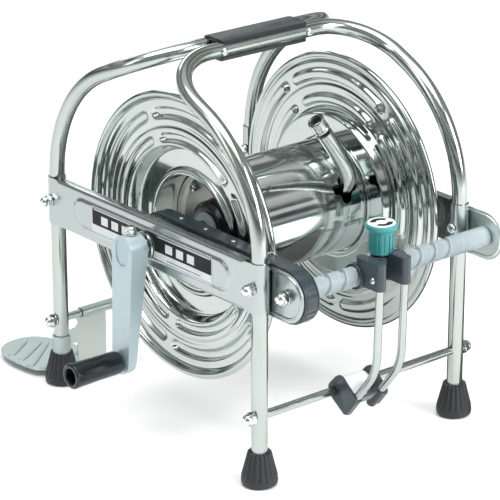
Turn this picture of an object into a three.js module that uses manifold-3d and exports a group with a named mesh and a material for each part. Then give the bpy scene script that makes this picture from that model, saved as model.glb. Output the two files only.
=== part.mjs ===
// Portable stainless steel hose reel: a bent tube frame on four rubber feet, a crank driven drum,
// a gear case along one side and a reversing screw that carries the hose guide from side to side.
// Units are millimetres. +Z is up, X runs along the drum axle, -Y is the hose guide side.
import * as THREE from 'three';
import { mergeVertices } from 'three/addons/utils/BufferGeometryUtils.js';
import Module from 'manifold-3d';

const wasm = await Module();
wasm.setup();

// ---- driving dimensions ------------------------------------------------------------------
const GAP = 0.3; // clearance between touching pieces
const LEG_X = 130; // half distance between the legs along the axle
const LEG_Y = 162; // half distance between front and rear legs
const TUBE_R = 8; // frame tube outer radius
const TUBE_BORE = 6.8;
const LEG_ARC_Z = 230.4; // height where a leg starts to lean inwards
const LEG_ARC_R = 138.4;
const LEG_ARC_ANGLE = THREE.MathUtils.degToRad(65.6);
const HANDLE_BEND_R = 63;
const HANDLE_Y = 10.75; // half distance between the two handle tubes
const HANDLE_Z =
  LEG_ARC_Z + LEG_ARC_R * Math.sin(LEG_ARC_ANGLE) +
  (LEG_Y - LEG_ARC_R * (1 - Math.cos(LEG_ARC_ANGLE)) - HANDLE_Y) / Math.tan(LEG_ARC_ANGLE);

const FOOT_R = 18.2;
const FOOT_H = 35;
const ROD_R = 4.3; // cross rods
const ROD_Z = 71;

const AXLE_Z = 202;
const AXLE_R = 8;
const PLATE_X = LEG_X + TUBE_R + GAP; // inner face of the side plate strap
const SHEET = 1.2;
const PLATE_Z0 = 179.5;
const PLATE_Z1 = 229.5;
const BOLT_Z = 204.5;
const BOLT_R = 3;

const DRUM_R = 147.3;
const NEAR_FIELD_X = -94; // outer face of the near flange's flat field
const FAR_FIELD_X = 112;
const BARREL_R = 60;

const WORM_Y = -189;
const WORM_Z = 199.5;
const WORM_R = 10.2;
const CASE_R = 27;
const CASE_REAR_Y = 6;
const GEAR_COUNT = 5;
const GEAR_TEETH = 14;

const CRANK_LENGTH = 114.5;
const GRIP_R = 13;

const GUIDE_X = [-28.3, 3.7]; // the two guide rods
const GUIDE_Y = -218.7;
const GUIDE_R = 4;
const KNOB_X = -0.3;

// The origin stands on the floor at the middle of the whole reel's footprint.
const ORIGIN = new THREE.Vector3(30.25, -23.26, 0);

// ---- materials -----------------------------------------------------------------------------
const steel = () => new THREE.MeshStandardMaterial({ color: 0xc9ccc8, roughness: 0.22, metalness: 1 });
const brushed = () => new THREE.MeshStandardMaterial({ color: 0xbfc3bf, roughness: 0.38, metalness: 1 });
const chrome = () => new THREE.MeshStandardMaterial({ color: 0xd8d9d6, roughness: 0.12, metalness: 1 });
const cast = () => new THREE.MeshStandardMaterial({ color: 0xb2c8ce, roughness: 0.5, metalness: 0.2 });
const blackPlastic = () => new THREE.MeshStandardMaterial({ color: 0x2c3438, roughness: 0.45, metalness: 0 });
const casePlastic = () => new THREE.MeshStandardMaterial({ color: 0x3c474d, roughness: 0.45, metalness: 0 });
const rubber = () => new THREE.MeshStandardMaterial({ color: 0x23282a, roughness: 0.75, metalness: 0 });
const nylon = () => new THREE.MeshStandardMaterial({ color: 0xb9c3c6, roughness: 0.5, metalness: 0 });
const white = () => new THREE.MeshStandardMaterial({ color: 0xe9ecee, roughness: 0.5, metalness: 0 });
const teal = () => new THREE.MeshStandardMaterial({ color: 0x1d8f92, roughness: 0.42, metalness: 0 });
const labelBlack = () => new THREE.MeshStandardMaterial({ color: 0x22282b, roughness: 0.35, metalness: 0 });

// ---- solids --------------------------------------------------------------------------------
// Welds a closed three.js geometry and turns it into a solid with its faces pointing outwards.
function toSolid(geometry) {
  const bare = geometry.clone();
  for (const key of Object.keys(bare.attributes)) {
    if (key !== 'position') bare.deleteAttribute(key);
  }
  const welded = mergeVertices(bare, 1e-3);
  const position = welded.attributes.position.array;
  const index = welded.index.array;
  const kept = [];
  let volume = 0;
  const a = new THREE.Vector3();
  const b = new THREE.Vector3();
  const c = new THREE.Vector3();
  for (let i = 0; i < index.length; i += 3) {
    const [p, q, r] = [index[i], index[i + 1], index[i + 2]];
    if (p === q || q === r || r === p) continue;
    kept.push(p, q, r);
    a.fromArray(position, 3 * p);
    b.fromArray(position, 3 * q);
    c.fromArray(position, 3 * r);
    volume += a.dot(b.cross(c));
  }
  if (volume < 0) {
    for (let i = 0; i < kept.length; i += 3) {
      [kept[i + 1], kept[i + 2]] = [kept[i + 2], kept[i + 1]];
    }
  }
  return new wasm.Manifold(new wasm.Mesh({
    numProp: 3,
    vertProperties: new Float32Array(position),
    triVerts: new Uint32Array(kept),
  }));
}

function fromSolid(solid) {
  const mesh = solid.getMesh();
  const geometry = new THREE.BufferGeometry();
  geometry.setAttribute('position', new THREE.BufferAttribute(new Float32Array(mesh.vertProperties), 3));
  geometry.setIndex(new THREE.BufferAttribute(new Uint32Array(mesh.triVerts), 1));
  geometry.computeVertexNormals();
  return geometry;
}

const assembly = new THREE.Group();
assembly.name = 'hose_reel';
assembly.position.copy(ORIGIN);

function add(name, solid, material) {
  const mesh = new THREE.Mesh(fromSolid(solid), material);
  mesh.name = name;
  assembly.add(mesh);
  return mesh;
}

const joined = (...solids) => solids.reduce((sum, next) => sum.add(next));
const cut = (solid, ...tools) => tools.reduce((rest, tool) => rest.subtract(tool), solid);

// Solid of revolution about X. Profile points are [radius, x].
function latheX(profile, segments = 24, y = 0, z = 0) {
  const geometry = new THREE.LatheGeometry(profile.map(([r, x]) => new THREE.Vector2(r, x)), segments);
  geometry.rotateZ(-Math.PI / 2);
  geometry.translate(0, y, z);
  return toSolid(geometry);
}

// Solid of revolution about Z. Profile points are [radius, z].
function latheZ(profile, segments = 24, x = 0, y = 0) {
  const geometry = new THREE.LatheGeometry(profile.map(([r, z]) => new THREE.Vector2(r, z)), segments);
  geometry.rotateX(Math.PI / 2);
  geometry.translate(x, y, 0);
  return toSolid(geometry);
}

const rodX = (r, x0, x1, y, z, segments = 20) => latheX([[0, x0], [r, x0], [r, x1], [0, x1]], segments, y, z);
const rodZ = (r, z0, z1, x, y, segments = 20) => latheZ([[0, z0], [r, z0], [r, z1], [0, z1]], segments, x, y);

function box(x0, x1, y0, y1, z0, z1) {
  const geometry = new THREE.BoxGeometry(x1 - x0, y1 - y0, z1 - z0);
  geometry.translate((x0 + x1) / 2, (y0 + y1) / 2, (z0 + z1) / 2);
  return toSolid(geometry);
}

function prism(shape, depth, curveSegments, matrix) {
  const geometry = new THREE.ExtrudeGeometry(shape, { depth, bevelEnabled: false, curveSegments });
  geometry.applyMatrix4(matrix);
  return toSolid(geometry);
}

// Shape drawn in (y, z), extruded along X.
function prismX(shape, x0, x1, curveSegments = 6) {
  const m = new THREE.Matrix4().makeBasis(
    new THREE.Vector3(0, 1, 0), new THREE.Vector3(0, 0, 1), new THREE.Vector3(1, 0, 0));
  m.setPosition(x0, 0, 0);
  return prism(shape, x1 - x0, curveSegments, m);
}

// Shape drawn in (x, z), extruded along Y.
function prismY(shape, y0, y1, curveSegments = 6) {
  const m = new THREE.Matrix4().makeBasis(
    new THREE.Vector3(1, 0, 0), new THREE.Vector3(0, 0, 1), new THREE.Vector3(0, -1, 0));
  m.setPosition(0, y1, 0);
  return prism(shape, y1 - y0, curveSegments, m);
}

// Shape drawn in (x, y), extruded along Z.
function prismZ(shape, z0, z1, curveSegments = 6) {
  return prism(shape, z1 - z0, curveSegments, new THREE.Matrix4().makeTranslation(0, 0, z0));
}

// Outline around two circles, used for straps, cases and arms.
function capsule(u1, v1, r1, u2, v2, r2) {
  const shape = new THREE.Shape();
  const heading = Math.atan2(v2 - v1, u2 - u1);
  const beta = Math.acos((r1 - r2) / Math.hypot(u2 - u1, v2 - v1));
  shape.absarc(u1, v1, r1, heading + beta, heading - beta + 2 * Math.PI, false);
  shape.absarc(u2, v2, r2, heading - beta, heading + beta, false);
  shape.closePath();
  return shape;
}

// Outline stretched round any number of circles, each given as [u, v, radius].
function wrapped(circles) {
  const points = [];
  for (const [u, v, r] of circles) {
    for (const p of ring(r, 24)) points.push([u + p.x, v + p.y]);
  }
  points.sort((a, b) => a[0] - b[0] || a[1] - b[1]);
  const turn = (a, b, c) => (b[0] - a[0]) * (c[1] - a[1]) - (b[1] - a[1]) * (c[0] - a[0]);
  const chain = (list) => {
    const kept = [];
    for (const p of list) {
      while (kept.length > 1 && turn(kept[kept.length - 2], kept[kept.length - 1], p) < 1e-6) kept.pop();
      kept.push(p);
    }
    return kept.slice(0, -1);
  };
  return polygon([...chain(points), ...chain(points.reverse())]);
}

function polygon(points) {
  return new THREE.Shape(points.map(([u, v]) => new THREE.Vector2(u, v)));
}

// A path through given points, swept with one section per point.
class PointPath extends THREE.Curve {
  constructor(points) {
    super();
    this.points = points;
    this.tangents = points.map((point, i) => {
      const direction = new THREE.Vector3();
      if (i > 0) direction.add(point.clone().sub(points[i - 1]).normalize());
      if (i < points.length - 1) direction.add(points[i + 1].clone().sub(point).normalize());
      return direction.normalize();
    });
  }

  getPoint(t, target = new THREE.Vector3()) {
    const last = this.points.length - 1;
    const i = Math.min(Math.floor(t * last), last - 1);
    return target.lerpVectors(this.points[i], this.points[i + 1], t * last - i);
  }

  getTangent(t, target = new THREE.Vector3()) {
    return target.copy(this.tangents[Math.round(t * (this.points.length - 1))]);
  }

  getUtoTmapping(u) {
    return u;
  }
}

function ring(radius, sides) {
  const points = [];
  for (let i = 0; i < sides; i += 1) {
    const angle = (2 * Math.PI * i) / sides;
    points.push(new THREE.Vector2(radius * Math.cos(angle), radius * Math.sin(angle)));
  }
  return points;
}

function sweep(points, radius, sides, boreRadius = 0, boreSides = 8) {
  const shape = new THREE.Shape(ring(radius, sides));
  if (boreRadius > 0) shape.holes.push(new THREE.Path(ring(boreRadius, boreSides)));
  const geometry = new THREE.ExtrudeGeometry(shape, {
    steps: points.length - 1,
    extrudePath: new PointPath(points),
    bevelEnabled: false,
  });
  return toSolid(geometry);
}

// ---- frame tubes ---------------------------------------------------------------------------
// Each tube is one long bend: leg, large arc inwards, tight bend along X, handle, and back down.
function framePath(side) {
  const half = [];
  half.push(new THREE.Vector3(-LEG_X, side * LEG_Y, 4.6));
  const arcSteps = 8;
  for (let i = 0; i <= arcSteps; i += 1) {
    const angle = (LEG_ARC_ANGLE * i) / arcSteps;
    const y = LEG_Y - LEG_ARC_R * (1 - Math.cos(angle));
    half.push(new THREE.Vector3(-LEG_X, side * y, LEG_ARC_Z + LEG_ARC_R * Math.sin(angle)));
  }
  const rise = new THREE.Vector3(0, -side * Math.sin(LEG_ARC_ANGLE), Math.cos(LEG_ARC_ANGLE));
  const corner = new THREE.Vector3(-LEG_X, side * HANDLE_Y, HANDLE_Z);
  const start = corner.clone().addScaledVector(rise, -HANDLE_BEND_R);
  const bendSteps = 7;
  for (let i = 0; i <= bendSteps; i += 1) {
    const angle = (Math.PI / 2) * (i / bendSteps);
    const point = start.clone().addScaledVector(rise, HANDLE_BEND_R * Math.sin(angle));
    point.x += HANDLE_BEND_R * (1 - Math.cos(angle));
    half.push(point);
  }
  const other = half.map((point) => new THREE.Vector3(-point.x, point.y, point.z)).reverse();
  return [...half, ...other];
}

const HANDLE_SCREW_X = 54.5;
const HANDLE_SCREW_R = 2;

for (const [name, side] of [['front', -1], ['rear', 1]]) {
  const tube = sweep(framePath(side), TUBE_R, 10, TUBE_BORE, 6);
  const holes = [];
  for (const x of [-LEG_X, LEG_X]) {
    holes.push(rodX(ROD_R + GAP, x - 10, x + 10, side * LEG_Y, ROD_Z, 16));
    holes.push(rodX(BOLT_R + GAP, x - 10, x + 10, side * LEG_Y, BOLT_Z, 12));
  }
  if (side < 0) {
    for (const x of [-HANDLE_SCREW_X, HANDLE_SCREW_X]) {
      holes.push(box(x - 2.3, x + 2.3, -HANDLE_Y - 10, -HANDLE_Y + 10, HANDLE_Z - 2.3, HANDLE_Z + 2.3));
    }
  }
  add(`${name}_frame_tube`, cut(tube, ...holes), steel());
}

// ---- handle grip ---------------------------------------------------------------------------
{
  const saddle = (y, z0, z1) => {
    const shape = new THREE.Shape();
    const [x, r] = [54, 5];
    shape.absarc(x - r, y - r, r, 0, Math.PI / 2, false);
    shape.absarc(-x + r, y - r, r, Math.PI / 2, Math.PI, false);
    shape.absarc(-x + r, -y + r, r, Math.PI, 1.5 * Math.PI, false);
    shape.absarc(x - r, -y + r, r, 1.5 * Math.PI, 2 * Math.PI, false);
    shape.closePath();
    return prismZ(shape, z0, z1, 3);
  };
  const channel = (y) => rodX(TUBE_R + GAP, -70, 70, y, HANDLE_Z, 16);
  const tie = (z0, z1) => box(-48, 48, -2.2, 2.2, z0, z1);
  const upper = joined(saddle(17, HANDLE_Z + 6.6, HANDLE_Z + 10.4), tie(HANDLE_Z, HANDLE_Z + 8));
  const lower = joined(saddle(15, HANDLE_Z - 11.6, HANDLE_Z - 6), tie(HANDLE_Z - 8, HANDLE_Z - GAP));
  for (const [name, half] of [['top', upper], ['bottom', lower]]) {
    add(`handle_grip_${name}`, cut(half, channel(-HANDLE_Y), channel(HANDLE_Y)), blackPlastic());
  }
}

for (const [name, x] of [['near', -HANDLE_SCREW_X], ['far', HANDLE_SCREW_X]]) {
  const profile = [
    [0, -20.6], [2.4, -20.4], [4.1, -19.05], [HANDLE_SCREW_R, -19.05], [HANDLE_SCREW_R, -3.4], [0, -3.4],
  ];
  const geometry = new THREE.LatheGeometry(profile.map(([r, y]) => new THREE.Vector2(r, y)), 12);
  geometry.translate(x, 0, HANDLE_Z);
  add(`handle_screw_${name}`, toSolid(geometry), chrome());
}

// ---- feet ----------------------------------------------------------------------------------
const CORNERS = [
  ['near_front', -1, -1], ['near_rear', -1, 1], ['far_front', 1, -1], ['far_rear', 1, 1],
];
for (const [name, sx, sy] of CORNERS) {
  const profile = [
    [0, 0], [14.5, 0], [17.4, 1.8], [FOOT_R, 5], [FOOT_R - 0.3, 7.5], [11.3, FOOT_H],
    [TUBE_R + GAP, FOOT_H], [TUBE_R + GAP, 4.3], [0, 4.3],
  ];
  add(`foot_${name}`, latheZ(profile, 18, sx * LEG_X, sy * LEG_Y), rubber());
}

// ---- cross rods and cap nuts ---------------------------------------------------------------
for (const [name, sy] of [['front', -1], ['rear', 1]]) {
  add(`${name}_cross_rod`, rodX(ROD_R, -LEG_X - 15.5, LEG_X + 15.5, sy * LEG_Y, ROD_Z, 16), steel());
}

// Hexagonal cap nut with a dome, opening towards the frame at x0 and growing by direction dx.
function capNut(x0, dx, y, z, acrossFlats, boreR, boreDepth) {
  const hex = new THREE.Shape();
  const corner = acrossFlats / Math.sqrt(3);
  for (let i = 0; i < 6; i += 1) {
    const angle = (Math.PI / 3) * i + Math.PI / 6;
    const [u, v] = [y + corner * Math.cos(angle), z + corner * Math.sin(angle)];
    if (i === 0) hex.moveTo(u, v);
    else hex.lineTo(u, v);
  }
  hex.closePath();
  const r = acrossFlats / 2;
  const at = (d) => x0 + dx * d;
  const hexagon = prismX(hex, Math.min(at(1), at(6)), Math.max(at(1), at(6)));
  const flange = rodX(r * 1.06, Math.min(at(0), at(1.3)), Math.max(at(0), at(1.3)), y, z, 12);
  const dome = latheX([
    [0, at(5)], [r * 0.93, at(5)], [r * 0.88, at(8)], [r * 0.55, at(10.8)], [0, at(11.8)],
  ], 12, y, z);
  const nut = joined(hexagon, flange, dome);
  if (!boreR) return nut;
  return cut(nut, rodX(boreR, Math.min(at(-1), at(boreDepth)), Math.max(at(-1), at(boreDepth)), y, z, 10));
}

for (const [name, sx, sy] of CORNERS) {
  const x0 = sx * (LEG_X + TUBE_R + GAP);
  add(`rod_cap_nut_${name}`, capNut(x0, sx, sy * LEG_Y, ROD_Z, 12.4, ROD_R + GAP, 8), chrome());
}

// ---- side plates ---------------------------------------------------------------------------
// One strap rolled round both legs at its ends, with a folded top edge and a pressed panel.
function sidePlate(sx) {
  const shape = new THREE.Shape();
  const inner = TUBE_R + GAP;
  const outer = inner + SHEET;
  const x = -LEG_X;
  const wrap = THREE.MathUtils.degToRad(24);
  shape.absarc(x, -LEG_Y, outer, Math.PI, 2 * Math.PI + wrap, false);
  shape.absarc(x, -LEG_Y, inner, 2 * Math.PI + wrap, Math.PI, true);
  shape.absarc(x, LEG_Y, inner, Math.PI, -wrap, true);
  shape.absarc(x, LEG_Y, outer, -wrap, Math.PI, false);
  shape.closePath();
  const strap = prismZ(shape, PLATE_Z0, PLATE_Z1, 5);
  const fold = box(-PLATE_X - 0.4, -PLATE_X + 7.8, -150, 150, PLATE_Z1 - SHEET, PLATE_Z1);
  const panel = prismX(capsule(-113.5, 205, 15.5, 109.5, 205, 15.5), -PLATE_X - 2.4, -PLATE_X - 1, 4);
  const plate = cut(
    joined(strap, fold, panel),
    rodX(12 + GAP, -150, -130, 0, AXLE_Z, 24),
    rodX(BOLT_R + GAP, -145, -115, -LEG_Y, BOLT_Z, 12),
    rodX(BOLT_R + GAP, -145, -115, LEG_Y, BOLT_Z, 12),
  );
  return sx < 0 ? plate : plate.mirror([1, 0, 0]);
}
add('near_side_plate', sidePlate(-1), brushed());
add('far_side_plate', sidePlate(1), brushed());

const PANEL_X = -PLATE_X - 2.4;
{
  const outline = polygon([[-103, 191], [90.5, 191], [90.5, 218], [-103, 218]]);
  const label = prismX(outline, PANEL_X - 0.6, PANEL_X - GAP);
  add('label_plate', cut(label, rodX(12 + GAP, -150, -130, 0, AXLE_Z, 24)), labelBlack());
}

for (const [name, sx, sy] of CORNERS) {
  const face = sx > 0 && sy < 0 ? PLATE_X + SHEET + GAP + SHEET + GAP : PLATE_X + SHEET + GAP;
  const head = capNut(sx * face, sx, sy * LEG_Y, BOLT_Z, 11.4, 0, 0);
  const span = (r, x0, x1, sides) => rodX(r, Math.min(x0, x1), Math.max(x0, x1), sy * LEG_Y, BOLT_Z, sides);
  const shank = span(BOLT_R, sx * 118.9, sx * (face + 4), 12);
  // Beside the gear case the bolt ends flush; the other three carry a round head inside the leg.
  const inside = name === 'near_front' ? [] : [span(5.2, sx * 117, sx * 120.2, 16)];
  add(`plate_bolt_${name}`, joined(head, shank, ...inside), chrome());
}

// ---- bearings ------------------------------------------------------------------------------
const BUSH_X = PANEL_X - 0.9;
for (const [name, sx] of [['crank_collar', -1], ['far_bearing', 1]]) {
  const profile = [
    [AXLE_R + 0.4, -BUSH_X + 2.4], [15.8, -BUSH_X + 2.4], [17, -BUSH_X + 1.2], [17, -BUSH_X],
    [12, -BUSH_X], [12, 121.2], [AXLE_R + 0.4, 121.2], [AXLE_R + 0.4, -BUSH_X + 2.4],
  ].map(([r, x]) => [r, sx * x]);
  add(name, latheX(profile, 18, 0, AXLE_Z), sx < 0 ? steel() : nylon());
}

// ---- end brackets and gear case --------------------------------------------------------------
const NEAR_BRACKET_X = -LEG_X + TUBE_R + SHEET + 2 * GAP; // outer face
{
  const plate = prismX(
    capsule(CASE_REAR_Y, AXLE_Z, 25, WORM_Y, WORM_Z, 25), NEAR_BRACKET_X, NEAR_BRACKET_X + SHEET, 8);
  add('near_end_bracket', cut(
    plate,
    rodX(AXLE_R + 0.6, -130, -110, 0, AXLE_Z),
    rodX(5.4, -130, -110, WORM_Y, WORM_Z, 16),
    rodX(BOLT_R + GAP, -130, -110, -LEG_Y, BOLT_Z, 12),
  ), brushed());
}
{
  const shape = new THREE.Shape();
  shape.moveTo(-134, WORM_Z + 25);
  shape.lineTo(WORM_Y, WORM_Z + 25);
  shape.absarc(WORM_Y, WORM_Z, 25, Math.PI / 2, 1.5 * Math.PI, false);
  shape.lineTo(-134, WORM_Z - 25);
  shape.closePath();
  const x0 = PLATE_X + SHEET + GAP;
  add('far_end_bracket', cut(
    prismX(shape, x0, x0 + SHEET, 8),
    rodX(5.4, 120, 160, WORM_Y, WORM_Z, 16),
    rodX(BOLT_R + GAP, 120, 160, -LEG_Y, BOLT_Z, 12),
  ), brushed());
}

const CASE_X0 = NEAR_BRACKET_X + SHEET + GAP;
const CASE_X1 = -103.3;
const COVER_X1 = -101.6;
const gearCentres = [];
for (let i = 0; i < GEAR_COUNT; i += 1) {
  const t = i / (GEAR_COUNT - 1);
  gearCentres.push([WORM_Y * t, AXLE_Z + (WORM_Z - AXLE_Z) * t]);
}
const CASE_WALL = 1.5;
{
  const outline = (r) => capsule(CASE_REAR_Y, AXLE_Z, r, WORM_Y, WORM_Z, r);
  const shell = cut(
    prismX(outline(CASE_R), CASE_X0, CASE_X1, 8),
    prismX(outline(CASE_R - CASE_WALL), CASE_X0 + CASE_WALL, CASE_X1 + 5, 8),
    rodX(AXLE_R + 0.6, -125, -110, 0, AXLE_Z),
    rodX(5.6, -125, -110, WORM_Y, WORM_Z, 16),
  );
  const pins = gearCentres.slice(1, -1).map(([y, z]) => rodX(3, CASE_X0 + 0.5, CASE_X1 - 0.4, y, z, 12));
  add('gear_case_shell', joined(shell, ...pins), casePlastic());
  add('gear_case_cover', cut(
    prismX(outline(CASE_R), CASE_X1 + GAP, COVER_X1, 8),
    rodX(AXLE_R + 0.6, -125, -90, 0, AXLE_Z),
    rodX(7.6, -125, -90, WORM_Y, WORM_Z, 16),
  ), casePlastic());
}

// ---- gear train ----------------------------------------------------------------------------
const GEAR_PITCH_R = Math.hypot(WORM_Y, WORM_Z - AXLE_Z) / (GEAR_COUNT - 1) / 2;
function gear(y, z, bore, phase) {
  const shape = new THREE.Shape();
  const pitch = (2 * Math.PI) / GEAR_TEETH;
  const [root, tip] = [GEAR_PITCH_R - 1.5, GEAR_PITCH_R + 1.0];
  for (let i = 0; i < GEAR_TEETH; i += 1) {
    const corners = [[root, -0.27], [tip, -0.155], [tip, 0.155], [root, 0.27]];
    for (const [r, offset] of corners) {
      const angle = phase + pitch * (i + offset);
      const [u, v] = [y + r * Math.cos(angle), z + r * Math.sin(angle)];
      if (i === 0 && offset === -0.27) shape.moveTo(u, v);
      else shape.lineTo(u, v);
    }
  }
  shape.closePath();
  shape.holes.push(new THREE.Path(ring(bore, 16).map((p) => p.add(new THREE.Vector2(y, z)))));
  return prismX(shape, -114.8, -105.2);
}
{
  const names = ['drive_gear', 'idler_gear_1', 'idler_gear_2', 'idler_gear_3', 'worm_pinion'];
  const bores = [AXLE_R + GAP, 3.4, 3.4, 3.4, 5 + GAP];
  const pitch = (2 * Math.PI) / GEAR_TEETH;
  const heading = Math.atan2(WORM_Z - AXLE_Z, WORM_Y);
  let phase = heading;
  names.forEach((name, i) => {
    add(name, gear(...gearCentres[i], bores[i], phase), nylon());
    const slip = heading - phase;
    phase = heading + Math.PI + slip + pitch / 2;
  });
}

// ---- drum ----------------------------------------------------------------------------------
// Pressed flange: rolled rim, flat field, dished centre and a bead round the barrel.
// Profile points are [radius, distance from the field's outer face towards the hose side].
const FLANGE_PROFILE = [
  [60.4, 13.2], [60.4, 10.6], [61.8, 9.9], [65, 10.2], [66.6, 13], [66.8, 14], [85.5, 14], [90, 0],
  [137.5, 0], [139.6, -2.4], [141, -5.2], [143.8, -6.5], [146.4, -5.4], [147.3, -3],
  [146.4, -0.6], [143.8, 0.6], [140.6, 1.2], [91, 1.2], [86.6, 15.2], [62.4, 15.2],
];
function flange(fieldX, direction) {
  const profile = FLANGE_PROFILE.map(([r, s]) => [Math.min(r, DRUM_R), fieldX + direction * s]);
  profile.push(profile[0]);
  return latheX(profile, 40, 0, AXLE_Z);
}
add('near_flange', flange(NEAR_FIELD_X, 1), steel());
add('far_flange', flange(FAR_FIELD_X, -1), steel());

const BARREL_X0 = NEAR_FIELD_X + 11;
const BARREL_X1 = FAR_FIELD_X - 11;
const HOLE_X = 73;
const HOLE_ANGLE = THREE.MathUtils.degToRad(65.3); // from +Z towards -Y
{
  const tube = latheX([
    [BARREL_R - SHEET, BARREL_X0], [BARREL_R, BARREL_X0], [BARREL_R, BARREL_X1],
    [BARREL_R - SHEET, BARREL_X1], [BARREL_R - SHEET, BARREL_X0],
  ], 40, 0, AXLE_Z);
  // Clover shaped opening: four lobes around the water pipe.
  const lobe = (dx, dv, r) => {
    const geometry = new THREE.CylinderGeometry(r, r, 30, 16);
    geometry.rotateX(Math.PI / 2);
    geometry.translate(dx, dv, BARREL_R);
    geometry.rotateX(HOLE_ANGLE);
    geometry.translate(HOLE_X, 0, AXLE_Z);
    return toSolid(geometry);
  };
  add('drum_barrel', cut(
    tube, lobe(0, 0, 10.5), lobe(-13.5, 2, 7.4), lobe(13.5, 2, 7.4), lobe(0, -10.5, 8.4), lobe(0, 11, 8.4),
  ), steel());
}

// A dished plate closes each end of the barrel, clamped to the axle by a hub disc.
const mirrorX = (profile, centre, side) => profile.map(([r, x]) => [r, side < 0 ? x : 2 * centre - x]);
const PLATE_MID = 22.4; // the two barrel plates stand at equal distances from here
for (const [name, side] of [['near', -1], ['far', 1]]) {
  add(`${name}_barrel_plate`, latheX(mirrorX([
    [AXLE_R + GAP, -52], [50, -52], [53, -54.5], [58.4, -54.5], [58.4, -52], [54, -50.6],
    [50.5, -50.6], [AXLE_R + GAP, -50.6], [AXLE_R + GAP, -52],
  ], PLATE_MID, side), 28, 0, AXLE_Z), steel());
  add(`${name}_drum_hub`, latheX(mirrorX([
    [AXLE_R + GAP, -63], [22.5, -63], [26.8, -60], [26.8, -52.4], [AXLE_R + GAP, -52.4], [AXLE_R + GAP, -63],
  ], PLATE_MID, side), 20, 0, AXLE_Z), blackPlastic());
}
add('hub_bush', latheX([
  [AXLE_R + GAP, -68], [13, -68], [16, -66.6], [17, -63.4], [AXLE_R + GAP, -63.4], [AXLE_R + GAP, -68],
], 20, 0, AXLE_Z), nylon());

// The axle is a bar on the crank side and a water tube on the far side.
add('axle', latheX([
  [0, -165.6], [AXLE_R, -165.6], [AXLE_R, 158], [5, 158], [5, 62], [0, 60],
], 24, 0, AXLE_Z), steel());

const PIPE_POINTS = [
  [73, -8.6, 206], [73, -24, 213.1], [73, -40, 220.4], [72.8, -49, 225], [72, -56.5, 230.4], [70, -62, 238],
  [66.5, -65.4, 247], [61.5, -67, 257], [55, -67.6, 267.5], [47, -67.6, 279], [38, -67.4, 291.5],
  [29.5, -67, 303], [21.5, -66.6, 314],
];
{
  const points = PIPE_POINTS.map((p) => new THREE.Vector3(...p));
  add('outlet_pipe', sweep(points, 8, 10, 6.4, 6), steel());
}

// ---- water inlet on the far side -------------------------------------------------------------
{
  const x0 = -BUSH_X + 3.4;
  const body = latheX([
    [AXLE_R + GAP, x0], [12.5, x0], [13.5, x0 + 1.5], [13.5, x0 + 26], [11, x0 + 29], [0, x0 + 29],
    [0, 158.5], [AXLE_R + GAP, 158.5], [AXLE_R + GAP, x0],
  ], 16, 0, AXLE_Z);
  const spout = latheZ([
    [0, AXLE_Z - 46], [7.4, AXLE_Z - 46], [8.6, AXLE_Z - 42], [7.6, AXLE_Z - 38], [8.8, AXLE_Z - 33],
    [7.8, AXLE_Z - 28], [10.5, AXLE_Z - 22], [10.5, AXLE_Z - 9], [0, AXLE_Z - 9],
  ], 16, x0 + 20, 0);
  const bore = rodZ(5, AXLE_Z - 60, AXLE_Z, x0 + 20, 0, 12);
  const duct = rodX(5, 150, x0 + 22, 0, AXLE_Z, 12);
  add('inlet_elbow', cut(joined(body, spout), bore, duct), casePlastic());
}

// ---- crank ---------------------------------------------------------------------------------
const GRIP_Z = AXLE_Z - CRANK_LENGTH;
{
  const side = polygon([
    [-169.5, 222], [-170.2, 202], [-175, 72], [-166.6, 72], [-149.4, 204], [-149.4, 222],
  ]);
  const face = capsule(0, AXLE_Z, 16, 0, GRIP_Z, 13.5);
  const arm = prismY(side, -20, 20).intersect(prismX(face, -180, -145, 8));
  const recess = prismX(capsule(0, AXLE_Z + 3, 10.6, 0, AXLE_Z - 10, 10), -180, -169.3, 6);
  add('crank_arm', cut(
    arm, recess,
    rodX(AXLE_R + GAP, -166, -140, 0, AXLE_Z),
    rodX(4 + GAP, -180, -160, 0, GRIP_Z, 16),
    rodZ(2.8, AXLE_Z, AXLE_Z + 30, -158.5, 0, 12),
  ), cast());
}
add('crank_set_bolt', latheZ([
  [0, AXLE_Z + 8.6], [2.5, AXLE_Z + 8.6], [2.5, AXLE_Z + 16.4], [5.8, AXLE_Z + 16.4], [5.8, AXLE_Z + 17.8],
  [4.9, AXLE_Z + 17.8], [4.9, AXLE_Z + 19.2], [5.6, AXLE_Z + 19.2], [5.6, AXLE_Z + 20.4], [4.6, AXLE_Z + 20.4],
  [4.6, AXLE_Z + 24], [0, AXLE_Z + 24.4],
], 12, -158.5, 0), chrome());
add('grip_spindle', latheX([
  [0, -218.6], [6.4, -218.6], [6.4, -216], [4, -216], [4, -163.2], [6, -163.2], [6, -161.4], [0, -161.4],
], 16, 0, GRIP_Z), steel());
add('crank_grip', latheX([
  [8.2, -236], [12, -236], [GRIP_R, -235], [GRIP_R - 0.2, -226], [12, -200], [12, -181],
  [10.6, -177.4], [4.4, -177.2], [4.4, -215.6], [8.2, -215.6], [8.2, -236],
], 20, 0, GRIP_Z), blackPlastic());

// ---- reversing screw -------------------------------------------------------------------------
const WORM_X1 = PLATE_X + SHEET;
add('worm_screw', latheX([
  [0, -129.5], [4, -129.5], [4, -120.2], [5, -120.2], [5, -104.4], [7, -104], [7, -100.8], [WORM_R, -100.8],
  [WORM_R, WORM_X1 - 0.2], [5, WORM_X1 - 0.2], [5, WORM_X1 + 5], [0, WORM_X1 + 5],
], 20, WORM_Y, WORM_Z), nylon());
add('worm_end_nut', capNut(NEAR_BRACKET_X - 0.4, -1, WORM_Y, WORM_Z, 13, 4 + GAP, 9.6), chrome());

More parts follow.
